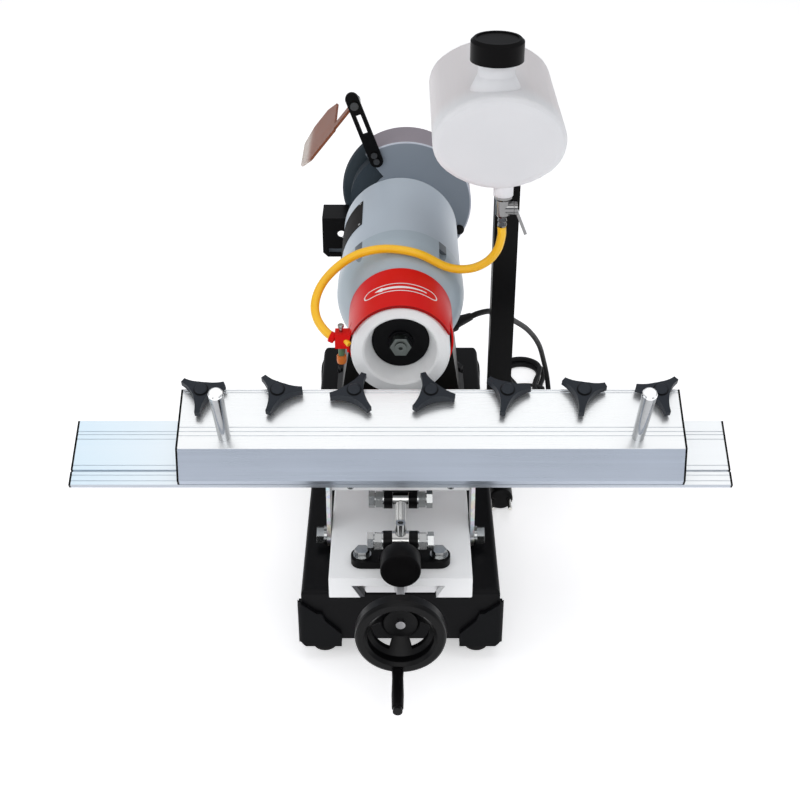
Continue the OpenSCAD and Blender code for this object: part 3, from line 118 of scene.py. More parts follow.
# The mains lead: from its gland to the tied hank behind the machine, and on to the plug
gland_route = [(78.05, 57.85, 229), (87.01, 65.37, 229), (100, 80, 224), (116, 106, 206),
               (136, 146, 176), (158, 192, 138), (177, 234, 94), (188, 257, 54), (193, 259, 32),
               (195, 247, 16), (195, 232, 10.5)]
plug_route = [(152, 186, 3.25), (138, 178, 3.25), (127, 160, 3.25), (120, 136, 3.25), (117, 112, 3.6),
              (117, 98, 6.2), (117, 84, 11.2), (117, 72, 14), (117, 62, 14)]

# The hank's sizes in millimetres, and its places along the cord in turns
HANK_X, HANK_Y, HANK_Z = 165.5, 269, 3.25
HANK_HALF_RUN, HANK_WAIST, HANK_LAYER = 50, 10, 7.1
HANK_INNER_R, HANK_SPREAD = 19.6, 7.2
HANK_START, HANK_TURNS, HANK_INNERMOST, HANK_DOWN = 0.25, 3.125, 1.625, 1.75
HANK_STEPS = 75


def hank_point(u):
    """A point of the tied hank after u turns: in on the upper layer, down along one run, out below"""
    quarter = (u % 1) * 4
    side, share = int(quarter), quarter % 1
    turn = math.pi * share
    r = HANK_INNER_R + HANK_SPREAD * abs(u - HANK_INNERMOST)
    drawn = r - HANK_WAIST * math.sin(turn) ** 2
    z = HANK_Z + HANK_LAYER * min(1, max(0, (HANK_DOWN - u) * 4))
    along = HANK_HALF_RUN - 2 * HANK_HALF_RUN * share
    x, y = [(drawn, along),
            (r * math.cos(turn), -HANK_HALF_RUN - r * math.sin(turn)),
            (-drawn, -along),
            (-r * math.cos(turn), HANK_HALF_RUN + r * math.sin(turn))][side]
    return HANK_X + x, HANK_Y + y, z


hank_route = [hank_point(HANK_START + HANK_TURNS * i / HANK_STEPS) for i in range(HANK_STEPS + 1)]
mains_lead = cord_curve("mains_lead", gland_route + hank_route + plug_route, CORD_D)
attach(mains_lead, "base")
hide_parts("power_cord", "cord_hank")


# Modelling helpers
def deselect():
    """Leaves edit mode and selects nothing"""
    if bpy.context.object and bpy.context.object.mode != "OBJECT":
        bpy.ops.object.mode_set(mode="OBJECT")
    bpy.ops.object.select_all(action="DESELECT")


def select_only(piece):
    """Makes the piece the active and only selected one"""
    deselect()
    bpy.context.view_layer.objects.active = piece
    piece.select_set(True)


def edit(piece):
    """Opens one piece for editing"""
    select_only(piece)
    bpy.ops.object.mode_set(mode="EDIT")


def edit_all(piece):
    """Opens one piece for editing with all of it selected"""
    edit(piece)
    bpy.ops.mesh.select_all(action="SELECT")


def pick_faces(piece, wanted):
    """Selects the faces that pass a test, in edit mode"""
    edit(piece)
    bpy.ops.mesh.select_mode(type="FACE")
    bpy.ops.mesh.select_all(action="DESELECT")
    bpy.ops.object.mode_set(mode="OBJECT")
    for face in piece.data.polygons:
        face.select = wanted(face)
    bpy.ops.object.mode_set(mode="EDIT")


def pick_edges(piece, wanted):
    """Selects the edges whose two ends pass a test, in edit mode"""
    edit(piece)
    bpy.ops.mesh.select_mode(type="EDGE")
    bpy.ops.mesh.select_all(action="DESELECT")
    bpy.ops.object.mode_set(mode="OBJECT")
    points = [v.co.copy() for v in piece.data.vertices]
    for edge in piece.data.edges:
        edge.select = wanted(points[edge.vertices[0]], points[edge.vertices[1]])
    bpy.ops.object.mode_set(mode="EDIT")


def named(name):
    """The primitive that was just added, with its name"""
    piece = bpy.context.object
    piece.name = piece.data.name = name
    return piece


def turned(name, rings, sides=40):
    """A turned piece: a disc drawn up along Z through rings of (radius, height), in millimetres"""
    deselect()
    radius, height = rings[0]
    bpy.ops.mesh.primitive_circle_add(vertices=sides, radius=radius * MM, fill_type="NGON",
                                      location=(0, 0, height * MM))
    piece = named(name)
    bpy.ops.object.transform_apply(location=True)
    edit_all(piece)
    for next_radius, next_height in rings[1:]:
        bpy.ops.mesh.extrude_region_move(
            TRANSFORM_OT_translate={"value": (0, 0, (next_height - height) * MM)})
        grow = next_radius / radius
        bpy.ops.transform.resize(value=(grow, grow, 1), center_override=(0, 0, next_height * MM))
        radius, height = next_radius, next_height
    return piece


def close_up(piece, smooth=40):
    """Merges doubles, turns the faces outwards and smooths the edges below an angle in degrees"""
    edit_all(piece)
    bpy.ops.mesh.remove_doubles(threshold=0.002 * MM)
    bpy.ops.mesh.normals_make_consistent(inside=False)
    bpy.ops.object.mode_set(mode="OBJECT")
    bpy.ops.object.shade_smooth_by_angle(angle=math.radians(smooth))


def thicken(piece, depth, offset=1):
    """Gives a sheet its thickness, in millimetres, outwards or with an offset of -1 inwards"""
    select_only(piece)
    wall = piece.modifiers.new("wall", "SOLIDIFY")
    wall.thickness, wall.offset = depth * MM, offset
    bpy.ops.object.modifier_apply(modifier=wall.name)


def split_long(piece, longest, cuts):
    """Subdivides the edges that are longer than a length, in millimetres"""
    pick_edges(piece, lambda a, b: (a - b).length > longest * MM)
    bpy.ops.mesh.subdivide(number_cuts=cuts)
    bpy.ops.object.mode_set(mode="OBJECT")


def wrap(piece, radius, lift):
    """Lays a flat piece, drawn along X and Y, round a cylinder on the motor's axis"""
    for point in piece.data.vertices:
        turn, out = point.co.x / radius, radius + lift * MM + point.co.z
        point.co = (out * math.sin(turn), point.co.y, AXIS_Z + out * math.cos(turn))
    piece.data.update()


def copy_of(piece, name):
    """A copy with a mesh of its own"""
    made = piece.copy()
    made.data = piece.data.copy()
    made.name = made.data.name = name
    bpy.context.scene.collection.objects.link(made)
    return made


def settle(piece, place, turn=None):
    """Puts the piece at its place, in millimetres, with the place kept in its mesh"""
    select_only(piece)
    matrix = Matrix.Translation(Vector(place) * MM)
    if turn is not None:
        matrix = matrix @ turn.to_4x4()
    piece.matrix_world = matrix
    bpy.ops.object.transform_apply(location=True, rotation=True, scale=True)


def facing(direction):
    """The turn that takes +Z to a direction"""
    return Vector((0, 0, 1)).rotation_difference(Vector(direction)).to_matrix()


def wear(piece, material, body, slot, *replaced):
    """Gives a finished piece its material, body and the nodes that it stands for; the slot is not used
    """
    piece.data.materials.clear()
    piece.data.materials.append(material)
    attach(piece, body)
    if replaced:
        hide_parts(*replaced)


# Shader values
class Field:
    """A shader value that takes Python's arithmetic"""

    def __init__(self, finish, socket):
        self.finish, self.socket = finish, socket

    def out(self, name):
        """Another output of the same node"""
        return Field(self.finish, self.socket.node.outputs[name])

    def math(self, operation, first, second=0.0):
        return self.finish.node("ShaderNodeMath", {"operation": operation}, {0: first, 1: second})

    def __add__(self, other):
        return self.math("ADD", self, other)

    def __sub__(self, other):
        return self.math("SUBTRACT", self, other)

    def __rsub__(self, other):
        return self.math("SUBTRACT", other, self)

    def __mul__(self, other):
        return self.math("MULTIPLY", self, other)

    def __mod__(self, other):
        return self.math("FLOORED_MODULO", self, other)

    def __abs__(self):
        return self.math("ABSOLUTE", self)

    __radd__, __rmul__ = __add__, __mul__

    def root(self):
        return self.math("SQRT", self)

    def sine(self):
        return self.math("SINE", self)

    def step(self, low, high):
        """0 below low, 1 above high, and smooth between them"""
        return self.finish.node("ShaderNodeMapRange", {"interpolation_type": "SMOOTHSTEP"},
                                {"Value": self, "From Min": low, "From Max": high})


class Finish:
    """One material: a principled shader and the nodes that feed it"""

    def __init__(self, name, **constants):
        self.material = bpy.data.materials.new(name)
        self.material.use_nodes = True
        self.tree = self.material.node_tree
        self.tree.nodes.clear()
        self.shader = self.tree.nodes.new("ShaderNodeBsdfPrincipled")
        output = self.tree.nodes.new("ShaderNodeOutputMaterial")
        self.tree.links.new(self.shader.outputs[0], output.inputs[0])
        self.place = self.node("ShaderNodeTexCoord", output="Object")
        axes = self.node("ShaderNodeSeparateXYZ", {}, {0: self.place})
        self.x, self.y, self.z = axes, axes.out("Y"), axes.out("Z")
        self.set(**constants)

    def node(self, kind, settings=None, values=None, output=0):
        """Adds a node: its settings first, then the values or links of its sockets"""
        made = self.tree.nodes.new(kind)
        for key, value in (settings or {}).items():
            setattr(made, key, value)
        for key, value in (values or {}).items():
            self.feed(made.inputs[key], value)
        return Field(self, made.outputs[output])

    def feed(self, socket, value):
        """Links a shader value to a socket, or sets a constant on it"""
        if isinstance(value, Field):
            self.tree.links.new(value.socket, socket)
        elif socket.type == "RGBA" and len(value) == 3:
            socket.default_value = (*value, 1)
        else:
            socket.default_value = value

    def set(self, **values):
        """Feeds the shader's own sockets, named with underscores for spaces"""
        for key, value in values.items():
            self.feed(self.shader.inputs[key.replace("_", " ")], value)

    def noise(self, scale, detail=2.0, rough=0.5, stretch=None):
        """Noise of a scale per metre, drawn out along an axis by a stretch below 1"""
        place = self.place
        if stretch:
            place = self.node("ShaderNodeMapping", {}, {"Vector": place, "Scale": stretch})
        return self.node("ShaderNodeTexNoise", {}, {"Vector": place, "Scale": scale, "Detail": detail,
                                                    "Roughness": rough})

    def cells(self, scale, output="Distance"):
        """Cells of a scale per metre"""
        return self.node("ShaderNodeTexVoronoi", {}, {"Vector": self.place, "Scale": scale}, output)

    def from_rail(self, direction):
        """Distance from the rail's origin along one of the rail's own directions"""
        return (self.y - RAIL_ORIGIN.y) * direction.y + (self.z - RAIL_ORIGIN.z) * direction.z

    def blend(self, share, first, second):
        """A colour between two"""
        return self.node("ShaderNodeMix", {"data_type": "RGBA"}, {0: share, 6: first, 7: second}, 2)

    def relief(self, height, depth, edge=None):
        """Bump of a depth in millimetres, on edges rounded by a radius in millimetres"""
        values = {"Height": height, "Distance": depth * MM, "Strength": 1.0}
        if edge:
            values["Normal"] = self.node("ShaderNodeBevel", {"samples": 4}, {"Radius": edge * MM})
        self.set(Normal=self.node("ShaderNodeBump", {}, values))


def distance(across, rise):
    """Distance from an axis, from two shader values square to each other"""
    return (across * across + rise * rise).root()


def tint(red, green, blue):
    """A linear colour from the 0 to 255 values of a screen"""
    return tuple(c / 12.92 if c <= 0.04045 else ((c + 0.055) / 1.055) ** 2.4
                 for c in (red / 255, green / 255, blue / 255))


def shade(colour, k):
    """A colour made darker or lighter"""
    return tuple(min(1.0, c * k) for c in colour)


# Kinds of finish
def enamel(name, colour, rough, coat=0.1, dust=0.08, edge=0.8, gloss=0.4, change=None):
    """Sprayed enamel: slow drift of tone, orange peel, faint rubbed patches"""
    f = Finish(name, Coat_Weight=coat, Coat_Roughness=0.2, Specular_IOR_Level=gloss)
    drift = f.noise(11, 3)
    peel = f.noise(700, 2)
    rubbed = f.noise(60, 6, 0.7).step(0.6, 0.8)
    base = f.blend(drift, shade(colour, 0.93), shade(colour, 1.06))
    base = f.blend(rubbed * dust, base, tint(150, 150, 148))
    if change:
        base = change(f, base)
    f.set(Base_Color=base, Roughness=rough + (drift - 0.5) * 0.1 + rubbed * 0.12)
    f.relief(peel, 0.04, edge)
    return f.material


def moulded(name, colour, rough, grain=1500, depth=0.03, scuff=0.04, edge=0.7, gloss=0.2, change=None):
    """Moulded plastic: fine spark-eroded grain, pale scuffs and a drift of gloss"""
    f = Finish(name, Specular_IOR_Level=gloss)
    drift = f.noise(30, 3)
    texture = f.noise(grain, 3, 0.6) + f.cells(grain * 0.7) * 0.4
    scuffs = f.noise(160, 6, 0.75).step(0.62, 0.82)
    base = f.blend(drift, shade(colour, 0.9), shade(colour, 1.1))
    base = f.blend(scuffs * scuff, base, tint(140, 140, 142))
    roughness = rough + (drift - 0.5) * 0.14
    metallic = 0.0
    if change:
        base, roughness, metallic = change(f, base, roughness)
    f.set(Base_Color=base, Roughness=roughness, Metallic=metallic)
    f.relief(texture, depth, edge)
    return f.material


def bare_metal(name, colour, rough, stretch=(1, 1, 1), grain=900, depth=0.01, stain=0.12, thread=None):
    """Bare or plated metal: drawn-out machining marks, cloudy stain, and a thread where there is one"""
    f = Finish(name, Metallic=1.0)
    marks = f.noise(grain, 3, 0.6, stretch)
    cloud = f.noise(45, 4)
    base = f.blend(marks, shade(colour, 0.9), shade(colour, 1.05))
    base = f.blend(cloud.step(0.45, 0.8) * stain, base, shade(colour, 0.62))
    f.set(Base_Color=base, Roughness=rough + (marks - 0.5) * 0.16 + (cloud - 0.5) * 0.08)
    edge = 0.4
    if thread:
        pitch, low, high = thread
        ridge = (f.y * (2 * math.pi / pitch)).sine()
        inside = f.y.step(low - 0.5 * MM, low) * (1 - f.y.step(high, high + 0.5 * MM))
        f.relief(marks * 0.05 + ridge * inside, 0.4, edge)
    else:
        f.relief(marks, depth, edge)
    return f.material


def zinc(name):
    """Zinc plate: crystal patches with a faint blue and straw bloom"""
    f = Finish(name, Metallic=1.0)
    patch = f.cells(240, "Color")
    bloom = f.noise(75, 4)
    marks = f.noise(1200, 3, 0.6)
    base = f.blend(bloom.step(0.35, 0.7), (0.54, 0.57, 0.60), (0.62, 0.60, 0.54))
    base = f.blend(0.12, base, patch)
    f.set(Base_Color=base, Roughness=0.3 + (marks - 0.5) * 0.16 + (bloom - 0.5) * 0.16)
    f.relief(marks, 0.01, 0.5)
    return f.material


def extruded(name, colour, front, edge, top, rough, cool_reflection=None):
    """Bright extruded aluminium: fine die lines along X, painted shade in the grooves, and a painted
    reflection that makes the face to the front darker and bluer

    The front face ends at edge up the slope, and what lies below top is a groove. The cool_reflection
    colour, where there is one, is a painted reflection that grows towards the left end.
    """
    f = Finish(name)
    # painted shade: what lies below top, in the grooves, goes halfway to a darker front colour
    groove = 1 - f.from_rail(OFF_RAIL).step(top - 0.5 * MM, top - 0.1 * MM)
    on_front = 1 - f.from_rail(UP_SLOPE).step(edge - 0.5 * MM, edge)
    lines = f.noise(2200, 3, 0.65, (0.004, 1, 1))
    bands = f.noise(260, 2, 0.5, (0.01, 1, 1))
    drift = f.noise(7, 2)
    base = f.blend(lines, shade(colour, 0.96), shade(colour, 1.03))
    base = f.blend(bands * 0.2, base, shade(colour, 0.88))
    base = f.blend(drift.step(0.4, 0.7) * 0.5, base, shade(colour, 0.95))
    if cool_reflection:
        # painted reflection: a bluish tint that grows towards the left end
        at_left = 1 - f.x.step(-360 * MM, -120 * MM)
        base = f.blend(at_left * (0.75 + bands * 0.25), base, cool_reflection)
    # painted reflection: the face to the front takes a darker, bluer colour of its own
    front_reflection = f.blend(bands * 0.4 + drift * 0.6, shade(front, 0.8), shade(front, 1.2))
    base = f.blend(groove * 0.5, base, shade(front, 0.9))
    base = f.blend(on_front, base, front_reflection)
    f.set(Base_Color=base, Metallic=0.86,
          Roughness=rough + (lines - 0.5) * 0.2 + (drift - 0.5) * 0.08)
    f.relief(lines * 0.6 + bands * 0.3, 0.008, 0.4)
    return f.material


def abrasive(name, colour, grit, speck):
    """Bonded abrasive: open grain, pores and a few dark specks"""
    f = Finish(name, Specular_IOR_Level=0.25)
    grains = f.cells(1400)
    pores = f.noise(900, 4, 0.7)
    soil = f.noise(90, 5, 0.7)
    spots = (1 - f.cells(330).step(0.04, 0.09)) * f.noise(40, 2).step(0.5, 0.62)
    base = f.blend(pores, shade(colour, 0.93), shade(colour, 1.04))
    base = f.blend(soil.step(0.55, 0.85) * 0.3, base, shade(colour, 0.72))
    base = f.blend(spots * speck, base, tint(95, 88, 78))
    f.set(Base_Color=base, Roughness=0.86 + (pores - 0.5) * 0.15)
    f.relief(grains * 0.6 + pores, grit, 0.8)
    return f.material


def rubber(name, colour, rough):
    """Soft sheath or rubber: matt bloom and fine dust"""
    f = Finish(name, Specular_IOR_Level=0.2)
    bloom = f.noise(70, 4)
    fine = f.noise(1600, 3, 0.6)
    base = f.blend(bloom, shade(colour, 0.85), shade(colour, 1.15))
    base = f.blend(fine.step(0.6, 0.85) * 0.08, base, tint(150, 148, 142))
    f.set(Base_Color=base, Roughness=rough + (bloom - 0.5) * 0.2)
    f.relief(fine, 0.03)
    return f.material


# Finishes of single pieces
def way_iron():
    """Machined way: a bare end face, and flanks and top much darker behind it, with marks along the
    slide
    """
    f = Finish("machined_way", Metallic=1.0)
    near = min(point.co.y for point in nodes["dovetail_way"].data.vertices)
    # everything behind the near end face is much darker
    behind_end_face = f.y.step(near + 0.3 * MM, near + 0.6 * MM)
    marks = f.noise(900, 3, 0.6, (1, 0.02, 1))
    cloud = f.noise(45, 4)
    bare = f.blend(marks, (0.6, 0.6, 0.61), (0.7, 0.7, 0.71))
    darker_behind = f.blend(marks, (0.13, 0.13, 0.135), (0.2, 0.2, 0.205))
    darker_behind = f.blend(cloud.step(0.5, 0.8) * 0.4, darker_behind, (0.08, 0.078, 0.075))
    f.set(Base_Color=f.blend(behind_end_face, bare, darker_behind),
          Roughness=0.36 + (marks - 0.5) * 0.16 + (cloud - 0.5) * 0.1)
    f.relief(marks, 0.01, 0.4)
    return f.material


def handle_plate():
    """Plated push handles: brushed shanks, with a painted highlight on the end face"""
    f = Finish("handle_plate", Metallic=1.0)
    far = max((point.co - RAIL_ORIGIN).dot(OFF_RAIL) for point in nodes["push_handles"].data.vertices)
    end = f.from_rail(OFF_RAIL).step(far - 2.6 * MM, far - 2 * MM)
    rings = f.noise(500, 3, 0.6, (1, 0.3, 1))
    cloud = f.noise(60, 3)
    base = f.blend(rings, (0.36, 0.37, 0.38), (0.5, 0.51, 0.52))
    base = f.blend(cloud.step(0.5, 0.8) * 0.15, base, (0.28, 0.28, 0.3))
    # painted highlight: the end face is painted near white
    base = f.blend(end, base, (0.93, 0.94, 0.94))
    f.set(Base_Color=base, Roughness=0.14 + (rings - 0.5) * 0.1 + (cloud - 0.5) * 0.06)
    f.relief(rings, 0.004, 0.4)
    return f.material


def bolt_plate():
    """Zinc plate on most bolts, and black oxide on those of the pedestal's foot and the shield's arm"""
    f = Finish("bolt_plate", Metallic=1.0)
    marks = f.noise(600, 3, 0.6)
    cloud = f.noise(45, 4)
    foot = (1 - f.z.step(160 * MM, 165 * MM)) * abs(f.x).step(50 * MM, 55 * MM)
    arm = f.y.step(250 * MM, 255 * MM) * f.z.step(310 * MM, 315 * MM)
    dark = foot + arm * 0.85
    base = f.blend(marks, (0.42, 0.43, 0.44), (0.52, 0.53, 0.54))
    base = f.blend(cloud.step(0.45, 0.8) * 0.1, base, (0.3, 0.3, 0.31))
    base = f.blend(dark, base, (0.02, 0.02, 0.021))
    f.set(Base_Color=base,
          Roughness=0.22 + (marks - 0.5) * 0.16 + (cloud - 0.5) * 0.08 + dark * 0.2)
    f.relief(marks, 0.008, 0.4)
    return f.material


def hose_plastic():
    """Yellow hose: slight ripple, darker flecks and a gloss that drifts"""
    f = Finish("yellow_hose", Specular_IOR_Level=0.5)
    drift = f.noise(28, 3)
    ripple = f.noise(420, 3)
    fleck = f.noise(300, 5, 0.7).step(0.66, 0.82)
    base = f.blend(drift, tint(252, 184, 14), tint(255, 206, 36))
    base = f.blend(fleck * 0.2, base, tint(206, 136, 18))
    f.set(Base_Color=base, Roughness=0.34 + (ripple - 0.5) * 0.16)
    f.relief(ripple, 0.06)
    return f.material


def tank_plastic():
    """Blow-moulded translucent plastic: soft light inside, cloudy flow and a pinker, thinner body"""
    f = Finish("tank_white", Subsurface_Weight=0.3, Subsurface_Scale=0.02,
               Subsurface_Radius=(1, 1, 1), Specular_IOR_Level=0.25)
    flow = f.noise(16, 3, 0.5, (1, 0.35, 1))
    fine = f.noise(700, 2)
    thin = f.y.step(-12 * MM, 30 * MM) * (1 - f.z.step(500 * MM, 512 * MM))
    base = f.blend(flow, tint(232, 233, 236), tint(242, 242, 244))
    base = f.blend(thin * 0.75, base, tint(228, 221, 221))
    f.set(Base_Color=base, Roughness=0.4 + (flow - 0.5) * 0.15)
    f.relief(fine + flow * 4, 0.05, 1.5)
    return f.material


def shield_plastic():
    """Smoke-brown clear sheet: rubbed haze, with a paler lower edge"""
    f = Finish("brown_shield", Specular_IOR_Level=0.12, IOR=1.49)
    haze = f.noise(35, 4)
    scratches = f.noise(700, 4, 0.7, (0.15, 1, 0.15)).step(0.68, 0.8)
    pale = 1 - f.z.step(322 * MM, 334 * MM)
    base = f.blend(haze, tint(126, 68, 40), tint(144, 82, 52))
    base = f.blend(pale * 0.75, base, tint(214, 204, 192))
    f.set(Base_Color=base, Roughness=0.3 + haze * 0.1 + scratches * 0.1, Alpha=0.9 - pale * 0.28)
    f.relief(haze + scratches * 0.3, 0.03, 0.6)
    return f.material


def two_tone_nozzle():
    """Drip nozzle: green stem and orange tip"""
    f = Finish("nozzle_green_orange", Specular_IOR_Level=0.45)
    drift = f.noise(120, 3)
    fine = f.noise(1500, 3)
    tip = 1 - f.z.step(258.3 * MM, 258.7 * MM)
    base = f.blend(tip, tint(86, 120, 84), tint(228, 120, 30))
    base = f.blend(drift * 0.25, base, tint(70, 66, 58))
    f.set(Base_Color=base, Roughness=0.45 + (drift - 0.5) * 0.15)
    f.relief(fine, 0.02, 0.4)
    return f.material


# Changes of tone within a finish, among them painted shade and a painted highlight
def dark_ring(f, base, roughness):
    """Shadowed groove round the hub cap of each star knob"""
    across = (f.x - (MIDDLE_KNOB_X - KNOB_PITCH / 2)) % KNOB_PITCH - KNOB_PITCH / 2
    from_axis = distance(across, f.from_rail(UP_SLOPE) - KNOB_S)
    ring = from_axis.step(6.1 * MM, 6.5 * MM) * (1 - from_axis.step(7.1 * MM, 7.8 * MM))
    return f.blend(ring * 0.9, base, tint(10, 11, 12)), roughness, 0.0


def plug_pins(f, base, roughness):
    """Bright metal on the plug's two pins"""
    pin = 1 - f.y.step(7.2 * MM, 7.8 * MM)
    return f.blend(pin, base, (0.75, 0.74, 0.7)), roughness * (1 - pin) + pin * 0.2, pin


def tie_bolt_pockets(f, base):
    """Shadow in the two pockets of the motor's tie bolts"""
    turn, out = math.radians(41), 70.3 * MM
    side = abs(f.x) - out * math.sin(turn)
    rise = f.z - (AXIS_Z + out * math.cos(turn))
    pocket = (1 - distance(side, rise).step(5.3 * MM, 5.7 * MM)) * f.y.step(-2 * MM, 0)
    return f.blend(pocket * 0.85, base, tint(46, 54, 62))


def drum_painted_light(f, base):
    """Painted highlight along the drum's front edge, painted shade on the band behind it, and painted
    shade round the opening and inside the drum
    """
    across, rise = f.x - DRUM_X, f.z - DRUM_Z
    out, back = distance(across, rise) - DRUM_R, f.y - DRUM_Y
    opening = math.radians(126)
    left = rise * math.cos(opening) - across * math.sin(opening)
    rim = out.step(-2.2 * MM, -1.2 * MM)
    front = 1 - back.step(1 * MM, 1.8 * MM)
    opening_shade = left.step(0, 2 * MM) * out.step(-4 * MM, -3.4 * MM)
    within = (back.step(2.6 * MM, 3 * MM) * (1 - back.step(49.5 * MM, 50.5 * MM))
              * (1 - out.step(-2.6 * MM, -2.2 * MM)))
    # painted shade on the rim band behind the front edge
    base = f.blend(rim * (1 - front), base, tint(146, 138, 146))
    # painted highlight along the drum's front edge
    base = f.blend(rim * front * 0.85, base, tint(222, 226, 236))
    # painted shade round the opening
    base = f.blend(opening_shade * 0.9, base, tint(62, 74, 82))
    # painted shade inside the drum
    return f.blend(within, base, tint(58, 70, 78))


def hood_edge_shade(f, base):
    """Painted shade: a darker band along the hood's front edge, standing in for a rolled edge"""
    edge = 1 - f.y.step(-100 * MM, -98.5 * MM)
    # painted shade along the hood's front edge
    return f.blend(edge * 0.8, base, tint(120, 10, 12))


# Paints
base_black = enamel("base_black", tint(13, 13, 15), 0.44, 0.02, 0.02, gloss=0.08)
motor_grey = enamel("motor_grey", tint(182, 193, 203), 0.36, 0.05, 0.04, gloss=0.25)
bell_grey = enamel("bell_grey", tint(168, 182, 191), 0.34, 0.1, 0.04, gloss=0.3,
                   change=tie_bolt_pockets)
guard_grey = enamel("guard_grey", tint(136, 145, 155), 0.42, 0.05, 0.04, gloss=0.3, change=drum_painted_light)
pedestal_black = enamel("pedestal_black", tint(15, 14, 13), 0.36, 0.03, 0.03, gloss=0.14)
black_paint = enamel("black_enamel", tint(6, 6, 7), 0.38, 0.03, 0.01, gloss=0.1)
flange_black = enamel("flange_black", tint(11, 11, 13), 0.55, 0.0, 0.03, gloss=0.1)
red_paint = enamel("red_enamel", tint(218, 22, 20), 0.32, 0.0, 0.01, gloss=0.06, change=hood_edge_shade)
white_paint = enamel("white_enamel", tint(249, 251, 252), 0.34, 0.15, 0.06)
sign_white = enamel("sign_white", tint(244, 240, 240), 0.4, 0.1, 0.12)

# Metals
ground_steel = bare_metal("ground_steel", (0.66, 0.66, 0.67), 0.28, (1, 0.03, 1))
feed_steel = bare_metal("feed_screw_steel", (0.5, 0.5, 0.51), 0.3, (1, 0.2, 1),
                        thread=(3 * MM, -240 * MM, -16 * MM))
dark_steel = bare_metal("dark_steel", (0.08, 0.08, 0.085), 0.4, grain=700)
rod_chrome = bare_metal("rod_plate", (0.5, 0.5, 0.49), 0.16, (1, 0.3, 1), 500, 0.006, 0.06)
nut_steel = bare_metal("nut_plate", (0.41, 0.42, 0.42), 0.22, (1, 1, 1), 600, 0.008, 0.1)
spindle_steel = bare_metal("spindle_nut_steel", (0.13, 0.145, 0.138), 0.42, (1, 1, 1), 700, 0.02, 0.3)
chrome = bare_metal("chrome", (0.25, 0.25, 0.25), 0.1, (1, 1, 1), 400, 0.003, 0.05)
nut_brass = bare_metal("nut_brass", (0.72, 0.52, 0.22), 0.3)
winding = bare_metal("winding_copper", (0.55, 0.3, 0.16), 0.4, (1, 0.05, 1), 600)
bracket_zinc = zinc("bracket_zinc")
way_metal = way_iron()
handle_metal = handle_plate()
bolt_metal = bolt_plate()
# the third colour of each is the painted reflection on the face to the front; the rail also gets a
# bluish painted reflection at its left end
rail_metal = extruded("rail_aluminium", (0.93, 0.96, 0.98), (0.5, 0.54, 0.6), 0.6 * MM, 0, 0.32,
                      cool_reflection=(0.7, 0.86, 0.97))
carriage_metal = extruded("carriage_aluminium", (0.95, 0.97, 0.98), (0.46, 0.51, 0.59), RIDGE_S,
                          CARRIAGE_H, 0.3)

# Abrasives, plastics and rubber
white_abrasive = abrasive("white_abrasive", tint(236, 237, 237), 0.1, 0.6)
grey_abrasive = abrasive("grey_abrasive", tint(58, 68, 76), 0.14, 0.5)
guard_plastic = moulded("guard_charcoal", tint(15, 16, 18), 0.55, 1100, 0.05, 0.02, gloss=0.08)
black_plastic = moulded("black_plastic", tint(8, 7, 8), 0.42, scuff=0.01, gloss=0.08)
cap_plastic = moulded("end_cap_black", tint(12, 12, 14), 0.5, 1300, 0.04, 0.02, gloss=0.12)
knob_plastic = moulded("knob_charcoal", tint(45, 49, 55), 0.45, 1200, 0.05, 0.03, gloss=0.12,
                       change=dark_ring)
wheel_plastic = moulded("handwheel_black", tint(8, 8, 9), 0.34, 900, 0.03, 0.02, gloss=0.16)
plug_plastic = moulded("plug_black", tint(9, 9, 10), 0.4, gloss=0.12, change=plug_pins)
plate_dark = moulded("plate_dark", tint(30, 29, 29), 0.6, 1600, 0.01, 0.06, gloss=0.05)
yellow_hose = hose_plastic()
tank_white = tank_plastic()
brown_shield = shield_plastic()
nozzle_plastic = two_tone_nozzle()
foot_rubber = rubber("foot_rubber", tint(16, 16, 17), 0.75)
cord_black = rubber("cord_black", tint(14, 14, 15), 0.5)

# What each CAD node wears
dressing = {
    base_black: ["base_housing"],
    guard_plastic: ["corner_guards"],
    foot_rubber: ["rubber_feet"],
    way_metal: ["dovetail_way"],
    motor_grey: ["motor_shell", "rear_end_bell"],
    bell_grey: ["front_end_bell"],
    guard_grey: ["rear_guard"],
    pedestal_black: ["motor_pedestal"],
    black_paint: ["shield_arm", "tank_post", "lower_clevis", "upper_clevis", "tool_rest"],
    flange_black: ["wheel_flanges"],
    red_paint: ["wheel_guard"],
    white_paint: ["saddle", "cross_plate"],
    ground_steel: ["clamp_bar", "ball_bearings"],
    feed_steel: ["feed_screw"],
    dark_steel: ["rotor", "gib_strip"],
    winding: ["stator"],
    rod_chrome: ["swivel_block", "trunnion_nut", "adjusting_screw"],
    bolt_metal: ["housing_bolts"],
    nut_steel: ["saddle_bolts", "rail_bolts"],
    spindle_steel: ["spindle_nuts", "motor_shaft"],
    bracket_zinc: ["tilt_brackets"],
    handle_metal: ["push_handles"],
    chrome: ["drain_cock", "cock_lever"],
    rail_metal: ["rail_beam"],
    carriage_metal: ["carriage_beam"],
    white_abrasive: ["cup_wheel"],
    grey_abrasive: ["rear_wheel"],
    black_plastic: ["crank_grip", "tank_cap"],
    cap_plastic: ["rail_end_caps", "carriage_end_caps"],
    knob_plastic: ["star_knob_%d" % i for i in range(1, 8)],
    nut_brass: ["feed_nut"],
    tank_white: ["water_tank"],
    brown_shield: ["eye_shield"],
    yellow_hose: ["water_hose"],
    cord_black: ["cable_gland", "power_cord", "cord_hank"],
    wheel_plastic: ["handwheel"],
    plug_plastic: ["mains_plug"],
}
for material, names in dressing.items():
    for name in names:
        mesh = nodes[name].data
        mesh.materials.clear()
        mesh.materials.append(material)
for cord, material in ((water_hose, yellow_hose), (mains_lead, cord_black)):
    cord.data.materials.append(material)


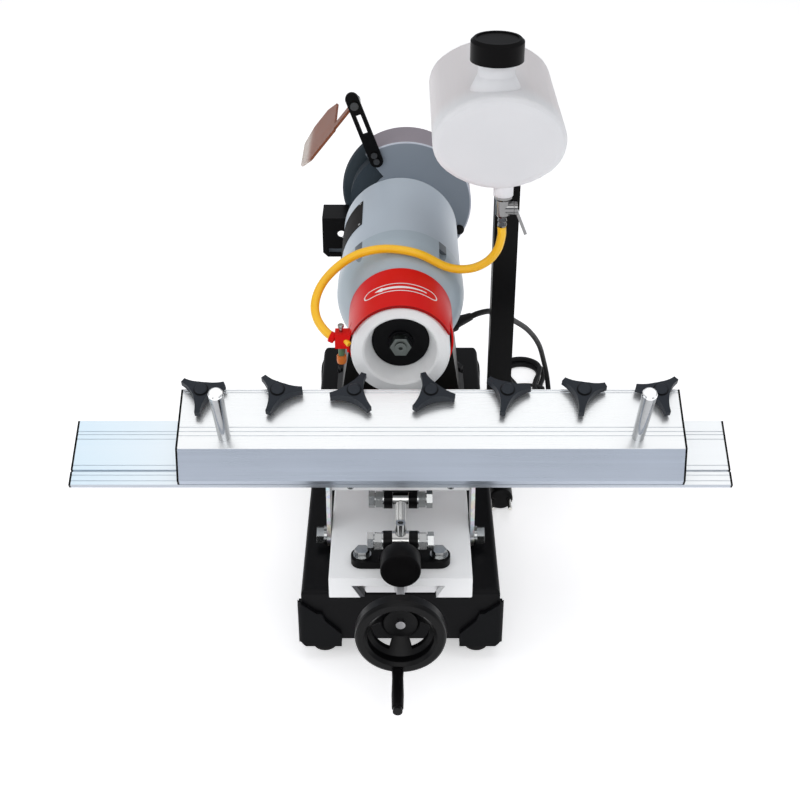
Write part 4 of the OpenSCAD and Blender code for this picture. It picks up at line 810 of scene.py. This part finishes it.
# Stage
def add_floor():
    """Plain pale floor that glows a little, so that it stays pale in the part's shade"""
    deselect()
    bpy.ops.mesh.primitive_plane_add(size=24, location=(0, 4, 0))
    floor = named("floor")
    f = Finish("floor_white", Specular_IOR_Level=0.1, Emission_Color=(1, 1, 1, 1),
               Emission_Strength=0.45)
    cloud = f.noise(3, 2)
    f.set(Base_Color=f.blend(cloud, tint(246, 246, 247), tint(250, 250, 251)), Roughness=0.85)
    floor.data.materials.append(f.material)


def add_light(name, place, aim, size, power):
    """Soft light of a width and height in metres, aimed at a point, with its power in watts"""
    data = bpy.data.lights.new(name, "AREA")
    data.shape, data.size, data.size_y = "RECTANGLE", size[0], size[1]
    data.energy = power
    light = bpy.data.objects.new(name, data)
    bpy.context.scene.collection.objects.link(light)
    light.location = place
    light.rotation_euler = (Vector(aim) - Vector(place)).to_track_quat("-Z", "Y").to_euler()


def add_surround():
    """Grey studio light that grows paler upwards, behind a surround that shows pale"""
    world = bpy.data.worlds.new("studio")
    bpy.context.scene.world = world
    world.use_nodes = True
    tree = world.node_tree
    background = tree.nodes["Background"]
    ramp = tree.nodes.new("ShaderNodeValToRGB")
    low, high = ramp.color_ramp.elements
    low.position, low.color = 0.0, (0.28, 0.30, 0.34, 1)
    high.position, high.color = 0.6, (0.48, 0.48, 0.49, 1)
    split = tree.nodes.new("ShaderNodeSeparateXYZ")
    sky = tree.nodes.new("ShaderNodeTexCoord")
    tree.links.new(sky.outputs["Generated"], split.inputs[0])
    tree.links.new(split.outputs["Z"], ramp.inputs[0])
    path = tree.nodes.new("ShaderNodeLightPath")
    shown = tree.nodes.new("ShaderNodeMix")
    shown.data_type = "RGBA"
    shown.inputs[7].default_value = (0.94, 0.94, 0.945, 1)
    tree.links.new(path.outputs["Is Camera Ray"], shown.inputs[0])
    tree.links.new(ramp.outputs[0], shown.inputs[6])
    tree.links.new(shown.outputs[2], background.inputs["Color"])
    bpy.context.scene.view_settings.view_transform = "Standard"


PART_MIDDLE = (0, 0, 0.25)
add_floor()
add_light("overhead_softbox", (0.1, 0.35, 2.3), (0, 0.1, 0.2), (3.0, 2.6), 15)
add_light("front_softbox", (0, -2.6, 1.9), PART_MIDDLE, (2.0, 1.4), 16)
add_light("left_softbox", (-2.2, -1.2, 1.6), PART_MIDDLE, (1.4, 1.4), 12)
add_light("right_softbox", (2.3, -0.9, 1.4), PART_MIDDLE, (1.2, 1.4), 4)
add_surround()


# Small pieces
def add_cord_tie():
    """Twist tie round the waist of the hank"""
    tie = turned("cord_tie", [(26, 0), (27, 1), (27, 7), (26, 8)], 48)
    pick_faces(tie, lambda face: abs(face.normal.z) > 0.9)
    bpy.ops.mesh.delete(type="FACE")
    flat = 0.262
    edit_all(tie)
    bpy.ops.transform.resize(value=(1, flat, 1), center_override=(0, 0, 0))
    thicken(tie, 0.9, -1)
    close_up(tie)
    settle(tie, (HANK_X, HANK_Y + 4, 7), facing((0, -1, 0)))
    wear(tie, cord_black, "base", "cord_rubber")
    return tie


cord_tie = add_cord_tie()
curve_length(mains_lead)

# The tilt screw's height, and the plane where its knob's back lies
TILT_Z, KNOB_BACK_Y = 137, -256


def add_tilt_knob():
    """Moulded knob of the tilt adjustment"""
    knob = turned("tilt_knob", [(8, 0), (17, 0), (18.6, 0.8), (19.25, 2.2), (19.25, 21.2), (18.9, 22),
                                (18.1, 22.5), (17.2, 22.3), (10, 22.3), (2, 22.3)], 64)
    close_up(knob, 34)
    settle(knob, (0, KNOB_BACK_Y, TILT_Z), facing((0, -1, 0)))
    wear(knob, black_plastic, "tilt_screw", "black_plastic", "adjusting_screw")


def add_threaded_rod():
    """Rod of the tilt adjustment: a core with its end collar, and a thread that winds round it"""
    rod = turned("threaded_rod", [(5.35, 0), (5.35, 84), (4.5, 84), (4.5, 108), (6.2, 108), (6.5, 108.4),
                                  (6.5, 111.6), (6.2, 112)], 32)
    close_up(rod)
    deselect()
    pitch, turns, steps = 1.75, 47, 20
    bpy.ops.mesh.primitive_circle_add(vertices=3, radius=0.7 * MM, fill_type="NOTHING")
    crest = named("rod_crest")
    tooth = ((6, 1), (5.2, 1.72), (5.2, 0.28))
    for point, (radius, height) in zip(crest.data.vertices, tooth):
        point.co = (radius * MM, 0, height * MM)
    spun = crest.modifiers.new("thread", "SCREW")
    spun.axis, spun.steps, spun.render_steps, spun.iterations = "Z", steps, steps, turns
    spun.screw_offset, spun.use_merge_vertices = pitch * MM, False
    bpy.ops.object.modifier_apply(modifier=spun.name)
    edit_all(crest)
    bpy.ops.mesh.fill_holes(sides=3)
    close_up(crest, 20)
    select_only(rod)
    crest.select_set(True)
    bpy.ops.object.join()
    settle(rod, (0, KNOB_BACK_Y - 0.5, TILT_Z), facing((0, 1, 0)))
    wear(rod, rod_chrome, "tilt_screw", "bright_steel", "adjusting_screw")


add_tilt_knob()
add_threaded_rod()


def add_cross_plate_screws():
    """Two button heads with round recesses, below the rail's front edge"""
    radius, height, recess = 3.6, 2.2, 1.7
    up, off = 6, -13
    left = turned("cross_screw_left", [
        (radius * 0.96, 0), (radius, height * 0.2), (radius * 0.95, height * 0.65),
        (radius * 0.78, height), (recess, height), (recess * 0.92, height * 0.45),
        (recess * 0.3, height * 0.4)], 24)
    close_up(left, 35)
    right = copy_of(left, "cross_screw_right")
    for screw, x in ((left, -50), (right, 50)):
        place = Vector((x, 0, 0)) + RAIL_ORIGIN / MM + UP_SLOPE * up + OFF_RAIL * off
        settle(screw, place, facing(-UP_SLOPE))
        wear(screw, nut_steel, "rail", "zinc_steel")


add_cross_plate_screws()

# The sign's film on the hood: how far it lies off the sheet, and how thick it is
SIGN_LIFT, SIGN_FILM = 0.05, 0.15


def add_arrow_outline():
    """Rounded outline of the turning sign"""
    end_r, half_turn = 8.6 * MM, math.radians(43)
    deselect()
    bpy.ops.mesh.primitive_circle_add(vertices=64, radius=end_r, fill_type="NGON")
    outline = named("arrow_outline")
    stretch = HOOD_R * half_turn - end_r
    for point in outline.data.vertices:
        point.co.x += math.copysign(stretch, point.co.x) if abs(point.co.x) > 0.1 * MM else 0.0
    edit_all(outline)
    bpy.ops.mesh.inset(thickness=1.5 * MM)
    bpy.ops.mesh.delete(type="FACE")
    bpy.ops.object.mode_set(mode="OBJECT")
    split_long(outline, 8, 14)
    thicken(outline, SIGN_FILM)
    wrap(outline, HOOD_R, SIGN_LIFT)
    close_up(outline, 30)
    settle(outline, (0, -59, 0))
    wear(outline, sign_white, "base", "white_paint")


def add_arrow_stroke():
    """Arrow of the turning sign: a head, and a stroke that narrows to its tail"""
    deselect()
    bpy.ops.mesh.primitive_grid_add(x_subdivisions=28, y_subdivisions=2, size=1)
    arrow = named("arrow_stroke")
    half, head = HOOD_R * math.radians(29), 9 * MM
    for point in arrow.data.vertices:
        along = (point.co.x + 0.5) * 2 * half - half
        width = 2.3 - 1.4 * max(0.0, along / half)
        if along < -half + head:
            width = 4.6 * (along + half) / head
        point.co = (along, 2 * point.co.y * width * MM, 0)
    thicken(arrow, SIGN_FILM)
    wrap(arrow, HOOD_R, SIGN_LIFT)
    close_up(arrow, 30)
    settle(arrow, (0, -59.5, 0))
    wear(arrow, sign_white, "base", "white_paint")


add_arrow_outline()
add_arrow_stroke()

# The bare plate on the motor's shell: its place along the shell and its length, in millimetres,
# and the turns round the shell where it starts and ends, in degrees
PLATE_Y, PLATE_L = 132, 64
PLATE_LOW, PLATE_HIGH = -86, -40


def add_bare_plate():
    """Bare dark plate with a sunk middle"""
    deselect()
    bpy.ops.mesh.primitive_grid_add(x_subdivisions=20, y_subdivisions=3, size=1)
    plate = named("motor_plate")
    low, high = SHELL_R * math.radians(PLATE_LOW), SHELL_R * math.radians(PLATE_HIGH)
    for point in plate.data.vertices:
        point.co = (low + (point.co.x + 0.5) * (high - low), point.co.y * PLATE_L * MM, 0)
    thicken(plate, 0.5)
    pick_faces(plate, lambda face: face.normal.z > 0.9)
    bpy.ops.mesh.inset(thickness=2.2 * MM, depth=-0.15 * MM, use_boundary=True)
    bpy.ops.object.mode_set(mode="OBJECT")
    wrap(plate, SHELL_R, 0.02)
    close_up(plate, 30)
    settle(plate, (0, PLATE_Y, 0))
    wear(plate, plate_dark, "base", "motor_grey")


def add_plate_rivets():
    """Four small rivets in the plate's corners, some degrees and millimetres in from its edges"""
    turn_in, edge_in = 3, 3.5
    corners = [(turn, PLATE_Y + side * (PLATE_L / 2 - edge_in))
               for turn in (PLATE_HIGH - turn_in, PLATE_LOW + turn_in) for side in (-1, 1)]
    first = turned("plate_rivet_1", [(1.5, 0), (1.5, 0.4), (1.0, 0.9), (0.4, 1.05)], 16)
    close_up(first, 60)
    rivets = [first] + [copy_of(first, "plate_rivet_%d" % i) for i in (2, 3, 4)]
    for rivet, (turn, y) in zip(rivets, corners):
        out = Vector((math.sin(math.radians(turn)), 0, math.cos(math.radians(turn))))
        settle(rivet, out * (SHELL_R / MM + 0.5) + Vector((0, y, AXIS_Z / MM)), facing(out))
        wear(rivet, nut_steel, "base", "zinc_steel")


add_bare_plate()
add_plate_rivets()


def add_guard_plug():
    """Round rubber plug at the edge of the rear guard's drum"""
    plug = turned("guard_plug", [(5, 0), (6, 0.6), (6.2, 2), (5.6, 4), (4, 5.4), (1.6, 6)], 28)
    close_up(plug, 60)
    settle(plug, (73, DRUM_Y / MM, 239), facing((0, -1, 0)))
    wear(plug, foot_rubber, "base", "foot_rubber")


def add_hinge_sleeve():
    """Plated sleeve with its end cap on the eye shield's hinge"""
    sleeve = turned("hinge_sleeve", [(6.6, 0), (7.4, 0.8), (7.4, 15), (6.6, 15.8), (4, 15.8)], 36)
    close_up(sleeve)
    settle(sleeve, (-54.65, 270.5, 399.3), facing((0, 1, 0)))
    wear(sleeve, chrome, "eye_shield", "bright_chrome")


add_guard_plug()
add_hinge_sleeve()


def add_hose_clip():
    """Red band that holds the hose's end, its screw, the hose's stub and the drip nozzle below"""
    length, along = 6, Vector((9.8, -2, -4)).normalized()
    band = turned("hose_band", [(4.9, 0), (5.4, 0.3), (5.7, 0.9), (5.7, 5), (5.4, 5.6),
                                (4.9, length)], 32)
    close_up(band)
    settle(band, Vector(hose_route[-1]) - along * length, facing(along))
    wear(band, red_paint, "base", "red_paint")

    screw = turned("clip_screw", [(1.8, 0), (1.8, 7), (3, 7), (3.2, 7.6), (3.2, 9.6), (2.6, 10.2),
                                  (1, 10.2)], 20)
    close_up(screw, 35)
    settle(screw, (-60, -83, 285))
    wear(screw, nut_steel, "base", "zinc_steel")

    stub = turned("hose_stub", [(2, 0), (2.7, 0), (2.9, 0.4), (2.9, 6), (2.6, 6.4), (1.8, 6.4),
                                (1.6, 4)], 28)
    close_up(stub)
    settle(stub, (-55.5, -87.5, 279.5), facing((0.6, -0.7, -0.35)))
    wear(stub, yellow_hose, "base", "hose_plastic")

    nozzle = turned("drip_nozzle", [(2.6, 0), (3.2, 0.5), (3.2, 13), (4.8, 13.4), (5, 14), (5, 20),
                                    (4.4, 22), (2.2, 22.6), (2, 21)], 28)
    close_up(nozzle, 35)
    settle(nozzle, (-60, -80, 271.5), facing((0, 0, -1)))
    wear(nozzle, nozzle_plastic, "base", "hose_plastic")


add_hose_clip()

bpy.context.view_layer.update()
